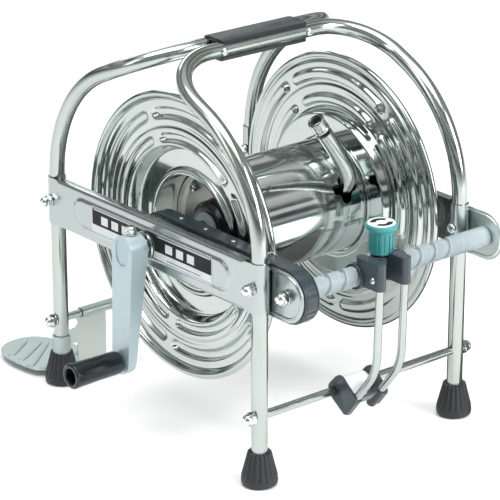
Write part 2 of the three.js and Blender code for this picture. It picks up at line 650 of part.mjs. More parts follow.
// ---- carriage --------------------------------------------------------------------------------
const CARRIAGE_X = [-36.5, 27];
const SLEEVE_R = 13.2;
const CLAMP_R = 5.8;
const CLAMP_Z = [192.3, 219.5];
const KNOB_Z0 = 216.3; // underside of the knob
const KNOB_Z1 = 246.8; // face of the disc set into its top
{
  const shell = (r, x0, x1) => rodX(r, x0, x1, WORM_Y, WORM_Z, 20);
  const body = shell(SLEEVE_R, ...CARRIAGE_X);
  const post = rodZ(9, WORM_Z + 8, KNOB_Z0 - GAP, KNOB_X, WORM_Y, 20);
  const seat = rodZ(11.6, WORM_Z + 6, WORM_Z + 14.6, KNOB_X, WORM_Y, 20);
  const clamps = GUIDE_X.map((x) => (
    prismZ(capsule(x, GUIDE_Y, CLAMP_R, x, WORM_Y - 4, CLAMP_R), ...CLAMP_Z, 5)
  ));
  add('carriage_body', cut(
    joined(body, post, seat, ...clamps),
    shell(WORM_R + 0.4, -60, 60),
    rodZ(3 + GAP, WORM_Z, 230, KNOB_X, WORM_Y, 12),
    rodZ(13.2, KNOB_Z0 - GAP, 230, KNOB_X, WORM_Y, 24),
    ...GUIDE_X.map((x) => rodZ(GUIDE_R + GAP, 180, 216.5, x, GUIDE_Y, 16)),
  ), casePlastic());
}
add('traverse_knob', latheZ([
  [0, 228.9], [3 + GAP, 228.9], [3 + GAP, KNOB_Z0], [11.8, KNOB_Z0], [12.5, KNOB_Z0 + 1.4], [12.6, 237.6],
  [13.2, 239.4], [15.5, 240.8], [16, 242.2], [16, 245.6], [15.2, 246.7], [14.1, 246.7],
  [14.1, 245.3], [0, 245.3],
], 20, KNOB_X, WORM_Y), teal());
add('knob_disc', rodZ(13.7, 245.3 + GAP, KNOB_Z1, KNOB_X, WORM_Y, 28), white());
add('follower_pawl', latheZ([
  [0, WORM_Z + WORM_R + 0.4], [2, WORM_Z + WORM_R + 0.4], [3, WORM_Z + WORM_R + 2], [3, 228.6], [0, 228.6],
], 12, KNOB_X, WORM_Y), brushed());

// The guide rods hang almost straight down, then turn back towards the cross rod.
const GUIDE_KNEE = new THREE.Vector3(0, GUIDE_Y + 2.9, 106);
const GUIDE_SLANT = new THREE.Vector3(0, 0.61, -0.79).normalize();
const GUIDE_BEND = 17; // from the knee to each end of the bend
const GUIDE_END = 67; // length of the slanting leg below the knee
const SOCKET_R = 5.5;
const SOCKET = [44, 69.7]; // measured from the knee along the slant
GUIDE_X.forEach((x, i) => {
  const knee = GUIDE_KNEE.clone().setX(x);
  const hang = new THREE.Vector3(x, GUIDE_Y, 190);
  const before = knee.clone().addScaledVector(hang.clone().sub(knee).normalize(), GUIDE_BEND);
  const after = knee.clone().addScaledVector(GUIDE_SLANT, GUIDE_BEND);
  const bend = new THREE.QuadraticBezierCurve3(before, knee, after).getPoints(6);
  const end = knee.clone().addScaledVector(GUIDE_SLANT, GUIDE_END);
  const points = [new THREE.Vector3(x, GUIDE_Y, 216), hang, ...bend, end];
  add(`guide_rod_${i === 0 ? 'near' : 'far'}`, sweep(points, GUIDE_R, 10), steel());
});

{
  // Two cheeks slide on the front cross rod; each holds a slanting socket for its guide rod.
  const pieces = [];
  const holes = [rodX(ROD_R + 0.3, -60, 60, -LEG_Y, ROD_Z, 14)];
  const tube = (r, from, to, x, segments) => {
    const geometry = new THREE.CylinderGeometry(r, r, to - from, segments);
    geometry.translate(0, -(from + to) / 2, 0);
    const down = new THREE.Vector3(0, -1, 0);
    geometry.applyQuaternion(new THREE.Quaternion().setFromUnitVectors(down, GUIDE_SLANT));
    geometry.translate(x, GUIDE_KNEE.y, GUIDE_KNEE.z);
    return toSolid(geometry);
  };
  const along = (t, r) => {
    const point = GUIDE_KNEE.clone().addScaledVector(GUIDE_SLANT, t);
    return [point.y, point.z, r];
  };
  const cheek = wrapped([
    [-LEG_Y, ROD_Z, 9.8], [-LEG_Y - 6.5, ROD_Z + 9, 8.5],
    along(SOCKET[0] + 3, SOCKET_R), along(SOCKET[1] - 6, SOCKET_R),
  ]);
  [-1, 1].forEach((side, i) => {
    const x = GUIDE_X[i];
    const span = (from, to) => [x + side * from, x + side * to].sort((a, b) => a - b);
    pieces.push(prismX(cheek, ...span(2.7, SOCKET_R)));
    pieces.push(rodX(7.2, ...span(SOCKET_R - 1, SOCKET_R + 1.1), -LEG_Y, ROD_Z, 16));
    pieces.push(tube(SOCKET_R, ...SOCKET, x, 12));
    holes.push(tube(GUIDE_R + GAP, SOCKET[0] - 5, GUIDE_END + GAP, x, 10));
  });
  const bar = capsule(...along(SOCKET[0] + 3, 1.7), ...along(SOCKET[0] + 11, 1.7));
  pieces.push(prismX(bar, ...GUIDE_X, 4));
  add('lower_guide_bracket', cut(joined(...pieces), ...holes), casePlastic());
  const ends = [GUIDE_X[0] - 2.3, GUIDE_X[1] + 2.3];
  add('guide_roller', latheX([
    [ROD_R + 0.4, ends[0]], [9.8, ends[0]], [10.6, ends[0] + 1], [10.8, (ends[0] + ends[1]) / 2],
    [10.6, ends[1] - 1], [9.8, ends[1]], [ROD_R + 0.4, ends[1]], [ROD_R + 0.4, ends[0]],
  ], 24, -LEG_Y, ROD_Z), white());
}

// ---- foot pedal ------------------------------------------------------------------------------
{
  const inner = ROD_R + 0.4;
  const y0 = LEG_Y + inner;
  const y1 = y0 + SHEET;
  const curl = latheX([
    [inner, -105], [inner + SHEET, -105], [inner + SHEET, -62], [inner, -62], [inner, -105],
  ], 20, LEG_Y, ROD_Z);
  const web = prismY(polygon([
    [-105, ROD_Z], [-105, 63], [-109, 61], [-110, 57], [-113, 53], [-122.9, 53], [-122.9, 35.8], [-105.5, 35.8],
    [-105.5, 7], [-68, 7], [-68, ROD_Z],
  ]), y0, y1);
  const collar = latheZ([
    [TUBE_R + GAP, 35.8], [TUBE_R + GAP + SHEET, 35.8], [TUBE_R + GAP + SHEET, 53], [TUBE_R + GAP, 53],
    [TUBE_R + GAP, 35.8],
  ], 24, -LEG_X, LEG_Y);
  const outline = new THREE.Shape();
  outline.moveTo(-68, y0);
  outline.splineThru([
    [-68, 185], [-71, 212], [-77.5, 238], [-85, 255], [-96, 267], [-111, 271], [-128, 268.5], [-142, 258.5],
    [-149, 242], [-150.5, 224], [-149.5, 205], [-145.5, 188], [-139.5, 180.5],
  ].map(([x, y]) => new THREE.Vector2(x, y)));
  outline.absarc(-LEG_X, LEG_Y, 20.2, THREE.MathUtils.degToRad(110), THREE.MathUtils.degToRad(20), true);
  outline.lineTo(-105.5, y0);
  outline.closePath();
  const tread = prismZ(outline, 7, 7 + SHEET, 2);
  const clear = rodZ(TUBE_R + GAP - 0.05, 20, 60, -LEG_X, LEG_Y, 24);
  add('foot_pedal', cut(joined(curl, web, collar, tread), clear), brushed());
}

export default assembly;
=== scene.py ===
"""Looks of the portable hose reel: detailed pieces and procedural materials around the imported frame."""
import math

import bmesh
import bpy
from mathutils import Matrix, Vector


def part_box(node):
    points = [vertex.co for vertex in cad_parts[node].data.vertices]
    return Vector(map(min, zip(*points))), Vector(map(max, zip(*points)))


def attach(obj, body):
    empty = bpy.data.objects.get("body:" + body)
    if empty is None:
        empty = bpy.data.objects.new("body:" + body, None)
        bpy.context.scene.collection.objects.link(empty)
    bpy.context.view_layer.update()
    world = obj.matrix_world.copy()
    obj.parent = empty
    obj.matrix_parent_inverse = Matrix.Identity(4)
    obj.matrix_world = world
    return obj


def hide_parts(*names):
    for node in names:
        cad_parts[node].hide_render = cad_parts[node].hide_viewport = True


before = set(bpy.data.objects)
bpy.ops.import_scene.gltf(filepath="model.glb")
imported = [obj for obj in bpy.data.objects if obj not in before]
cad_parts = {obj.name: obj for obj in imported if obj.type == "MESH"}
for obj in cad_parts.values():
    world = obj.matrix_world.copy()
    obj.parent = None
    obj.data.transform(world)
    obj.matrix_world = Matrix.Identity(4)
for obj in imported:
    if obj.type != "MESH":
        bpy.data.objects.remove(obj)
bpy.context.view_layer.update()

TAU = 2 * math.pi
MM_PER_METRE = 1000

# The pieces are drawn in millimetres about the middle of the four legs, with z = 0 on the floor.
ROD_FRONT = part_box("front_cross_rod")
ROD_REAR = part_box("rear_cross_rod")
BASE = Vector((
    (ROD_FRONT[0].x + ROD_FRONT[1].x) / 2,
    (ROD_FRONT[0].y + ROD_FRONT[1].y + ROD_REAR[0].y + ROD_REAR[1].y) / 4,
    0.0,
))


def at(point):
    return BASE + Vector(point) / MM_PER_METRE


# ---- mesh helpers ----
def fillet(points, radius, steps, closed=False, least=0.3):
    """Rounds the corners of a 2-D outline, apart from those that turn by less than least radians."""
    out = []
    count = len(points)
    for i, p in enumerate(points):
        if not closed and i in (0, count - 1):
            out.append(tuple(p))
            continue
        p = Vector(p)
        a = Vector(points[i - 1]) - p
        b = Vector(points[(i + 1) % count]) - p
        if a.length < 1e-6 or b.length < 1e-6:
            continue
        turn = math.pi - a.angle(b)
        if turn < least:
            out.append(tuple(p))
            continue
        reach = min(radius * math.tan(turn / 2), 0.45 * a.length, 0.45 * b.length)
        start, end = p + a.normalized() * reach, p + b.normalized() * reach
        for k in range(steps + 1):
            t = k / steps
            q = (1 - t) ** 2 * start + 2 * t * (1 - t) * p + t * t * end
            out.append(tuple(q))
    return out


def lathe(profile, place, segments=48, bump=None):
    """Turns [radius, along] points about an axis. place(along, c, s) gives a point for a unit turn."""
    verts, faces, rings = [], [], []
    for radius, along in profile:
        if radius < 1e-6:
            verts.append(place(along, 0.0, 0.0))
            rings.append([len(verts) - 1] * segments)
            continue
        ring = []
        for i in range(segments):
            angle = TAU * i / segments
            r, a = bump(radius, along, angle) if bump else (radius, along)
            verts.append(place(a, r * math.cos(angle), r * math.sin(angle)))
            ring.append(len(verts) - 1)
        rings.append(ring)
    for lower, upper in zip(rings, rings[1:]):
        for i in range(segments):
            j = (i + 1) % segments
            face = []
            for v in (lower[i], lower[j], upper[j], upper[i]):
                if v not in face:
                    face.append(v)
            if len(face) > 2:
                faces.append(face)
    return verts, faces


def lathe_x(profile, y, z, segments=48, bump=None):
    return lathe(profile, lambda a, c, s: (a, y + c, z + s), segments, bump)


def lathe_z(profile, x, y, segments=48, bump=None):
    return lathe(profile, lambda a, c, s: (x + c, y + s, a), segments, bump)


def lathe_dir(profile, origin, direction, segments=32, bump=None):
    """Turns a profile about any line from origin along direction."""
    axis = Vector(direction).normalized()
    side = axis.orthogonal().normalized()
    other = axis.cross(side)
    base = Vector(origin)
    return lathe(profile, lambda a, c, s: tuple(base + axis * a + side * c + other * s), segments, bump)


def closed_loop(profile):
    return list(profile) + [profile[0]]


def ring(points, radius, steps):
    """A closed section with rounded corners, to be turned about an axis that it doesn't touch."""
    return closed_loop(fillet(points, radius, steps, closed=True))


def bar_profile(radius, start, end):
    """A solid round bar, mostly used to cut a round hole."""
    return [(0, start), (radius, start), (radius, end), (0, end)]


def bar_x(radius, x0, x1, y, z, segments=32):
    return lathe_x(bar_profile(radius, x0, x1), y, z, segments)


def bar_z(radius, z0, z1, x, y, segments=32):
    return lathe_z(bar_profile(radius, z0, z1), x, y, segments)


def sweep(points, radius, segments=24, bore=0.0, closed=False, radii=None):
    """A round tube along points, with a bore or flat caps."""
    path = [Vector(p) for p in points]
    count = len(path)
    tangents = []
    for i in range(count):
        before = path[i] - path[i - 1] if (i > 0 or closed) else Vector()
        after = path[(i + 1) % count] - path[i] if (i < count - 1 or closed) else Vector()
        tangents.append((before.normalized() + after.normalized()).normalized())
    normal = tangents[0].orthogonal().normalized()
    verts, faces, rings, inner = [], [], [], []
    for i in range(count):
        normal = (normal - tangents[i] * normal.dot(tangents[i])).normalized()
        other = tangents[i].cross(normal)
        r = radii[i] if radii else radius
        for target, size in ((rings, r), (inner, bore)):
            if size <= 0:
                continue
            ring = []
            for k in range(segments):
                angle = TAU * k / segments
                across = normal * size * math.cos(angle)
                verts.append(tuple(path[i] + across + other * size * math.sin(angle)))
                ring.append(len(verts) - 1)
            target.append(ring)
    for walls in (rings, inner):
        pairs = list(zip(walls, walls[1:]))
        if closed and walls:
            pairs.append((walls[-1], walls[0]))
        for a, b in pairs:
            for k in range(segments):
                m = (k + 1) % segments
                faces.append([a[k], a[m], b[m], b[k]])
    if not closed:
        for end in (0, -1):
            if inner:
                for k in range(segments):
                    m = (k + 1) % segments
                    faces.append([rings[end][k], rings[end][m], inner[end][m], inner[end][k]])
            else:
                faces.append(list(rings[end]))
    return verts, faces


def prism(outline, low, high, place):
    count = len(outline)
    verts = [place(u, v, low) for u, v in outline] + [place(u, v, high) for u, v in outline]
    faces = [list(range(count)), list(range(count, 2 * count))]
    for i in range(count):
        j = (i + 1) % count
        faces.append([i, j, count + j, count + i])
    return verts, faces


def prism_x(outline, x0, x1):
    return prism(outline, x0, x1, lambda u, v, w: (w, u, v))


def prism_y(outline, y0, y1):
    return prism(outline, y0, y1, lambda u, v, w: (u, w, v))


def prism_z(outline, z0, z1):
    return prism(outline, z0, z1, lambda u, v, w: (u, v, w))


def arc(u, v, r, start, end, steps):
    return [(u + r * math.cos(start + (end - start) * i / steps),
             v + r * math.sin(start + (end - start) * i / steps)) for i in range(steps + 1)]


def capsule(u1, v1, r1, u2, v2, r2, steps=24):
    heading = math.atan2(v2 - v1, u2 - u1)
    beta = math.acos((r1 - r2) / math.hypot(u2 - u1, v2 - v1))
    return (arc(u1, v1, r1, heading + beta, heading - beta + TAU, steps)
            + arc(u2, v2, r2, heading - beta, heading + beta, steps))


def rounded(u0, u1, v0, v1, r, steps):
    """A rectangle with round corners."""
    quarter = math.pi / 2
    corners = ((u1 - r, v1 - r), (u0 + r, v1 - r), (u0 + r, v0 + r), (u1 - r, v0 + r))
    return [p for i, (u, v) in enumerate(corners)
            for p in arc(u, v, r, i * quarter, (i + 1) * quarter, steps)]


def hexagon(u, v, flats, turn=0.0):
    return arc(u, v, flats / math.sqrt(3), turn, turn + TAU, 6)[:-1]


def smooth(t):
    t = min(max(t, 0.0), 1.0)
    return t * t * (3 - 2 * t)


WELD = 2e-6


def new_object(name, shape):
    mesh = bpy.data.meshes.new(name)
    mesh.from_pydata([at(v) for v in shape[0]], [], shape[1])
    work = bmesh.new()
    work.from_mesh(mesh)
    bmesh.ops.remove_doubles(work, verts=work.verts, dist=WELD)
    bmesh.ops.recalc_face_normals(work, faces=work.faces)
    work.to_mesh(mesh)
    work.free()
    obj = bpy.data.objects.new(name, mesh)
    bpy.context.scene.collection.objects.link(obj)
    return obj


def bake(obj):
    """Applies the modifiers of obj to its mesh."""
    bpy.context.view_layer.update()
    result = obj.evaluated_get(bpy.context.evaluated_depsgraph_get())
    mesh = bpy.data.meshes.new_from_object(result)
    obj.modifiers.clear()
    obj.data = mesh


def carve(obj, shapes, operation="DIFFERENCE"):
    tools = []
    for i, shape in enumerate(shapes):
        tool = new_object(f"{obj.name}_tool_{i}", shape)
        tools.append(tool)
        step = obj.modifiers.new("carve", "BOOLEAN")
        step.operation = operation
        step.solver = "EXACT"
        step.object = tool
    bake(obj)
    for tool in tools:
        bpy.data.objects.remove(tool)
    return obj


def finish(obj, material, body, node=None, bevel=0.0, steps=2, sharp=32, limit=30):
    """Rounds the edges, and gives shading, material, body and replaced CAD node."""
    obj.data.shade_smooth()
    if bevel:
        edge = obj.modifiers.new("edge", "BEVEL")
        edge.width = bevel / MM_PER_METRE
        edge.segments = steps
        edge.limit_method = "ANGLE"
        edge.angle_limit = math.radians(limit)
        obj.modifiers.new("even", "WEIGHTED_NORMAL").keep_sharp = True
    else:
        obj.data.set_sharp_from_angle(angle=math.radians(sharp))
    obj.data.materials.clear()
    obj.data.materials.append(MATERIALS[material])
    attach(obj, body)
    if node:
        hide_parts(node)


def piece(name, shape, material, body, node=None, carved=(), **finishing):
    """Makes a finished piece from a shape and the cuts in it."""
    obj = new_object(name, shape)
    if carved:
        carve(obj, carved)
    finish(obj, material, body, node, **finishing)


# ---- materials ----
MATERIALS = {}


class Nodes:
    """A small helper that builds one node material."""

    def __init__(self, name, slot):
        self.material = bpy.data.materials.new(name)
        self.material.use_nodes = True
        self.tree = self.material.node_tree
        self.shader = self.tree.nodes["Principled BSDF"]
        MATERIALS[name] = self.material
        self.coords = self.tree.nodes.new("ShaderNodeTexCoord")

    def add(self, kind, **inputs):
        """Adds a node and sets its inputs by name."""
        node = self.tree.nodes.new(kind)
        for key, value in inputs.items():
            node.inputs[key.replace("_", " ")].default_value = value
        return node

    def link(self, a, b):
        self.tree.links.new(a, b)

    def noise(self, scale, detail, stretch=(1, 1, 1), rough=0.5):
        node = self.add("ShaderNodeTexNoise", Scale=scale, Detail=detail, Roughness=rough)
        mapping = self.add("ShaderNodeMapping", Scale=stretch)
        self.link(self.coords.outputs["Object"], mapping.inputs["Vector"])
        self.link(mapping.outputs["Vector"], node.inputs["Vector"])
        return node.outputs["Fac"]

    def spread(self, source, low, high, start=0.3, end=0.7):
        node = self.add("ShaderNodeMapRange", From_Min=start, From_Max=end, To_Min=low, To_Max=high)
        self.link(source, node.inputs["Value"])
        return node.outputs["Result"]

    def mix(self, factor, a, b):
        """Mixes two colours; sockets 6 and 7 and output 2 are the Mix node's colour sockets."""
        node = self.add("ShaderNodeMix")
        node.data_type = "RGBA"
        self.link(factor, node.inputs[0])
        for socket, value in ((node.inputs[6], a), (node.inputs[7], b)):
            if isinstance(value, tuple):
                socket.default_value = (*value, 1)
            else:
                self.link(value, socket)
        return node.outputs[2]

    def bump(self, source, strength, distance):
        node = self.add("ShaderNodeBump", Strength=strength, Distance=distance)
        self.link(source, node.inputs["Height"])
        return node.outputs["Normal"]

    def to(self, name, value):
        if isinstance(value, (int, float)):
            self.shader.inputs[name].default_value = value
        else:
            self.link(value, self.shader.inputs[name])


def steel(name, slot, tint, rough, brush=(1, 1, 1), brush_scale=900, relief=0.05, cloud=0.06):
    """Stainless steel with faint polishing lines, smudges and uneven gloss."""
    n = Nodes(name, slot)
    lines = n.noise(brush_scale, 5, brush, 0.65)
    smudge = n.noise(22, 3)
    dark = tuple(c * (1 - cloud) for c in tint)
    n.to("Base Color", n.mix(n.spread(smudge, 0.0, 1.0), dark, tint))
    n.to("Metallic", 1.0)
    gloss = n.add("ShaderNodeMath")
    gloss.operation = "ADD"
    n.link(n.spread(lines, rough[0], rough[1]), gloss.inputs[0])
    n.link(n.spread(smudge, 0.0, 0.05, 0.45, 0.75), gloss.inputs[1])
    n.to("Roughness", gloss.outputs[0])
    n.to("Normal", n.bump(lines, relief, 0.00005))


def plastic(name, slot, tint, rough, grain=2600, relief=0.12, worn=None, coat=0.0, mottling=0.1, shine=0.5,
            metal=0.0):
    """Moulded plastic: fine grain, slight mottling and edges rubbed a little lighter."""
    n = Nodes(name, slot)
    fine = n.noise(grain, 3, rough=0.6)
    broad = n.noise(60, 3)
    low = tuple(c * (1 - mottling) for c in tint)
    base = n.mix(n.spread(broad, 0.0, 1.0), low, tint)
    if worn:
        geometry = n.add("ShaderNodeNewGeometry")
        edge = n.spread(geometry.outputs["Pointiness"], 0.0, 0.55, 0.505, 0.56)
        base = n.mix(edge, base, worn)
    n.to("Base Color", base)
    n.to("Roughness", n.spread(broad, rough - 0.05, rough + 0.07))
    n.to("Normal", n.bump(fine, relief, 0.0001))
    n.to("Metallic", metal)
    n.to("Coat Weight", coat)
    n.to("Specular IOR Level", shine)
    n.to("Coat Roughness", 0.18)


STEEL = (0.435, 0.475, 0.455)
steel("tube_steel", "polished_steel", STEEL, (0.12, 0.2), (1, 1, 0.12), 1500, 0.05)
steel("rod_steel", "polished_steel", STEEL, (0.11, 0.19), (0.1, 1, 1), 1500, 0.05)
steel("drum_steel", "polished_steel", (0.49, 0.535, 0.52), (0.06, 0.11), (1, 1, 1), 500, 0.03)
steel("barrel_steel", "polished_steel", (0.60, 0.645, 0.635), (0.05, 0.1), (0.08, 1, 1), 900, 0.03)
# Painted shade: the end plates deep inside the barrel get a darker steel than the drum, for the shade and
# dark reflection in that recess.
steel("shaded_end_steel", "polished_steel", (0.35, 0.355, 0.325), (0.3, 0.34), (1, 1, 1), 900, 0.02, 0.02)
# Painted light: the far bracket gets a much lighter copy of the plate steel, for light that it would
# otherwise not catch.
steel("lit_bracket_steel", "brushed_plate", (0.72, 0.78, 0.76), (0.3, 0.36), (1, 1, 1), 1400, 0.03, 0.03)
steel("plate_steel", "brushed_plate", (0.405, 0.45, 0.445), (0.2, 0.26), (1, 0.05, 1), 1400, 0.03, 0.03)
steel("pedal_steel", "brushed_plate", (0.385, 0.455, 0.445), (0.32, 0.4), (1, 0.06, 1), 1400, 0.06, 0.03)
# Painted light: the pedal's upright web gets a lighter copy of the pedal steel, for light that its face would
# otherwise not catch.
steel("lit_web_steel", "brushed_plate", (0.55, 0.60, 0.57), (0.34, 0.42), (0.08, 1, 1), 1400, 0.06, 0.03)
steel("fastener", "bright_fastener", (0.66, 0.70, 0.69), (0.08, 0.16), (1, 1, 1), 1200, 0.05)
plastic("black", "black_plastic", (0.007, 0.011, 0.013), 0.17, relief=0.06, worn=(0.05, 0.06, 0.065),
        coat=0.15, shine=0.3)
plastic("slate", "slate_plastic", (0.012, 0.023, 0.029), 0.2, relief=0.06, worn=(0.085, 0.11, 0.125),
        coat=0.3, shine=0.3)
plastic("rubber", "black_rubber", (0.012, 0.016, 0.018), 0.52, grain=1800, relief=0.2,
        worn=(0.04, 0.045, 0.05))
plastic("nylon", "grey_nylon", (0.27, 0.325, 0.345), 0.36, worn=(0.5, 0.57, 0.6), mottling=0.12)
plastic("white", "white_plastic", (0.82, 0.85, 0.86), 0.36, worn=(0.9, 0.92, 0.92), mottling=0.04)
plastic("teal", "teal_plastic", (0.026, 0.26, 0.27), 0.34, worn=(0.08, 0.33, 0.33), coat=0.25)
plastic("enamel", "crank_enamel", (0.365, 0.465, 0.51), 0.34, grain=1500, relief=0.16,
        worn=(0.62, 0.69, 0.72), coat=0.35, mottling=0.06, metal=0.35)
plastic("label_dark", "label_film", (0.010, 0.013, 0.014), 0.5, grain=900, relief=0.04, shine=0.2)
plastic("label_pale", "label_film", (0.62, 0.65, 0.66), 0.30, grain=900, relief=0.04, coat=0.3, mottling=0.04)

# ---- camera, lights and floor ----
CAMERA_PLACE = (-1639.0, -1961.7, 1130.2)
CAMERA_HEADING = (0.5982, 0.7187, -0.3543)
CENTRE = (0, 0, 180)


def link_object(name, data):
    obj = bpy.data.objects.new(name, data)
    bpy.context.scene.collection.objects.link(obj)
    return obj


def look_along(obj, direction):
    obj.rotation_euler = direction.to_track_quat("-Z", "Y").to_euler()


camera = link_object("camera", bpy.data.cameras.new("camera"))
camera.location = at(CAMERA_PLACE)
look_along(camera, Vector(CAMERA_HEADING))
camera.data.lens = 192.8
camera.data.sensor_width = 36.0
camera.data.shift_x = -0.0015
camera.data.shift_y = 0.0028
camera.data.clip_end = 60.0
bpy.context.scene.camera = camera
bpy.context.scene.view_settings.view_transform = "Standard"


def softbox(name, place, size, power):
    light = bpy.data.lights.new(name, "AREA")
    light.shape = "RECTANGLE"
    light.size, light.size_y = size
    light.energy = power
    obj = link_object(name, light)
    obj.location = at(place)
    look_along(obj, at(CENTRE) - obj.location)


softbox("light_top", (-300, -300, 2400), (2.4, 1.6), 56)
softbox("light_left", (-2300, 300, 1500), (0.7, 1.6), 9)
softbox("light_right", (900, -2300, 1300), (0.9, 1.8), 58)
softbox("light_back", (900, 2300, 1700), (1.6, 0.7), 12)

# The studio is banded from the floor up, because polished steel shows what stands round it.
STUDIO_FLOOR = (0.5, 0.51, 0.5, 1)
STUDIO_TOP = (0.8, 0.82, 0.82, 1)
STUDIO_BANDS = ((0.03, 0.3), (0.08, 0.05), (0.16, 0.05), (0.19, 0.75), (0.26, 0.75), (0.29, 0.07),
                (0.35, 0.1), (0.42, 0.5), (0.55, 0.7), (0.62, 0.16), (0.72, 0.16), (0.8, 0.8))
PALE_BACKDROP = (0.93, 0.935, 0.93, 1)

world = bpy.data.worlds.new("studio")
world.use_nodes = True
bpy.context.scene.world = world
sky = world.node_tree
background = sky.nodes["Background"]
coords, split, ramp, pale, path, choice = (
    sky.nodes.new(f"ShaderNode{kind}")
    for kind in ("TexCoord", "SeparateXYZ", "ValToRGB", "Background", "LightPath", "MixShader"))
bands = ramp.color_ramp.elements
bands[0].color = STUDIO_FLOOR
bands[1].color = STUDIO_TOP
for height, shade in STUDIO_BANDS:
    bands.new(height).color = (shade, shade * 1.02, shade * 1.01, 1)
# What shows behind the floor's far edge is plain and pale; reflections see the softly banded studio.
pale.inputs["Color"].default_value = PALE_BACKDROP
for source, target in ((coords.outputs["Generated"], split.inputs[0]),
                       (split.outputs["Z"], ramp.inputs["Fac"]),
                       (ramp.outputs["Color"], background.inputs["Color"]),
                       (path.outputs["Is Camera Ray"], choice.inputs[0]),
                       (background.outputs[0], choice.inputs[1]), (pale.outputs[0], choice.inputs[2]),
                       (choice.outputs[0], sky.nodes["World Output"].inputs["Surface"])):
    sky.links.new(source, target)


def stage_card(name, corners, z, colour, rough, shine):
    """A flat card of the studio, which isn't part of the object."""
    card = new_object(name, ([(x, y, z) for x, y in corners], [list(range(len(corners)))]))
    cloth = bpy.data.materials.new(name)
    cloth.use_nodes = True
    shader = cloth.node_tree.nodes["Principled BSDF"]
    shader.inputs["Base Color"].default_value = (*colour, 1)
    shader.inputs["Roughness"].default_value = rough
    shader.inputs["Specular IOR Level"].default_value = shine
    card.data.materials.append(cloth)
    return card


# A dark studio flag on the floor beyond the reel, which only reflections see.
FLAG = [(-20, 260), (80, -20), (170, -250), (520, -360), (720, 200), (600, 950), (100, 1000)]
flag = stage_card("flag_back", FLAG, 0.5, (0.09, 0.09, 0.09), 1.0, 0.5)
flag.visible_camera = False
flag.visible_shadow = False
flag.visible_diffuse = False

FLOOR = [(-9000, -9000), (9000, -9000), (9000, 9000), (-9000, 9000)]
stage_card("floor", FLOOR, -0.2, (0.97, 0.972, 0.97), 0.9, 0.1)

# ---- shared dimensions ----
LEG_X, LEG_Y, TUBE_R = 130.0, 162.0, 8.0
ROD_Z, AXLE_Z, BOLT_Z = 71.0, 202.0, 204.5
GAP = 0.3    # clearance between pieces that sit side by side
PLATE_X, SHEET = 138.3, 1.2
PLATE_Z0, PLATE_Z1 = 179.5, 229.5
HANDLE_Y = 10.75
ARC_Z, ARC_R, ARC_ANGLE = 230.4, 138.4, math.radians(65.6)
BEND_R = 63.0
HANDLE_Z = (ARC_Z + ARC_R * math.sin(ARC_ANGLE)
            + (LEG_Y - ARC_R * (1 - math.cos(ARC_ANGLE)) - HANDLE_Y) / math.tan(ARC_ANGLE))
SCREW_Y, SCREW_Z, SCREW_R = -189.0, 199.5, 10.2
CORNERS = [("near_front", -1, -1), ("near_rear", -1, 1), ("far_front", 1, -1), ("far_rear", 1, 1)]


# ---- frame tubes ----
def frame_path(side):
    """From a near foot up the leg, over the arc and the bend, along the handle and down to the far foot."""
    half = [Vector((-LEG_X, side * LEG_Y, z)) for z in (4.6, 60, 120, 180, 222)]
    for i in range(33):
        angle = ARC_ANGLE * i / 32
        half.append(Vector((-LEG_X, side * (LEG_Y - ARC_R * (1 - math.cos(angle))),
                            ARC_Z + ARC_R * math.sin(angle))))
    rise = Vector((0, -side * math.sin(ARC_ANGLE), math.cos(ARC_ANGLE)))
    start = Vector((-LEG_X, side * HANDLE_Y, HANDLE_Z)) - rise * BEND_R
    half.append(start - rise * 5)
    for i in range(25):
        angle = math.pi / 2 * i / 24
        point = start + rise * BEND_R * math.sin(angle)
        point.x += BEND_R * (1 - math.cos(angle))
        half.append(point)
    half.append(Vector((-40, side * HANDLE_Y, HANDLE_Z)))
    return half + [Vector((-p.x, p.y, p.z)) for p in reversed(half)]


ROD_END, ROD_R = LEG_X + 15.5, 4.3
rod = [(0, -ROD_END), (3.9, -ROD_END), (ROD_R, -ROD_END + 0.5), (ROD_R, ROD_END - 0.5), (3.9, ROD_END),
       (0, ROD_END)]
for name, side in (("front", -1), ("rear", 1)):
    tube = sweep(frame_path(side), TUBE_R, 40, 6.8)
    piece(f"{name}_tube", tube, "tube_steel", "frame", f"{name}_frame_tube")
    piece(f"{name}_rod", lathe_x(rod, side * LEG_Y, ROD_Z, 32), "rod_steel", "frame", f"{name}_cross_rod")

# ---- carrying handle ----
GRIP_HALF_LENGTH, GRIP_HALF_WIDTH = 54, 17.2


def saddle(name, node, half):
    """Half of the grip: a crowned section drawn in (y, z) with two channels for the tubes."""
    half = [(y, HANDLE_Z + z) for y, z in half]
    section = fillet(half + [(-y, z) for y, z in reversed(half)], 1.2, 4, closed=True)
    channels = [sweep([(-75, s * HANDLE_Y, HANDLE_Z), (75, s * HANDLE_Y, HANDLE_Z)], TUBE_R + 0.15, 40)
                for s in (-1, 1)]
    plan = rounded(-GRIP_HALF_LENGTH, GRIP_HALF_LENGTH, -GRIP_HALF_WIDTH, GRIP_HALF_WIDTH, 5, 8)
    obj = new_object(name, prism_x(section, -GRIP_HALF_LENGTH, GRIP_HALF_LENGTH))
    carve(obj, [prism_z(plan, HANDLE_Z - 20, HANDLE_Z + 20)], "INTERSECT")
    carve(obj, channels)
    finish(obj, "black", "frame", node, bevel=0.6, steps=3, limit=40)


saddle("grip_upper", "handle_grip_top",
       [(-2.2, 0.3), (-2.2, 6.4), (-16.6, 6.4), (-17, 7.3), (-14.2, 9.3), (-8.4, 10.4)])
saddle("grip_lower", "handle_grip_bottom",
       [(-2.2, -0.3), (-2.2, -6), (-15, -6), (-15, -10.2), (-12.6, -11.6)])


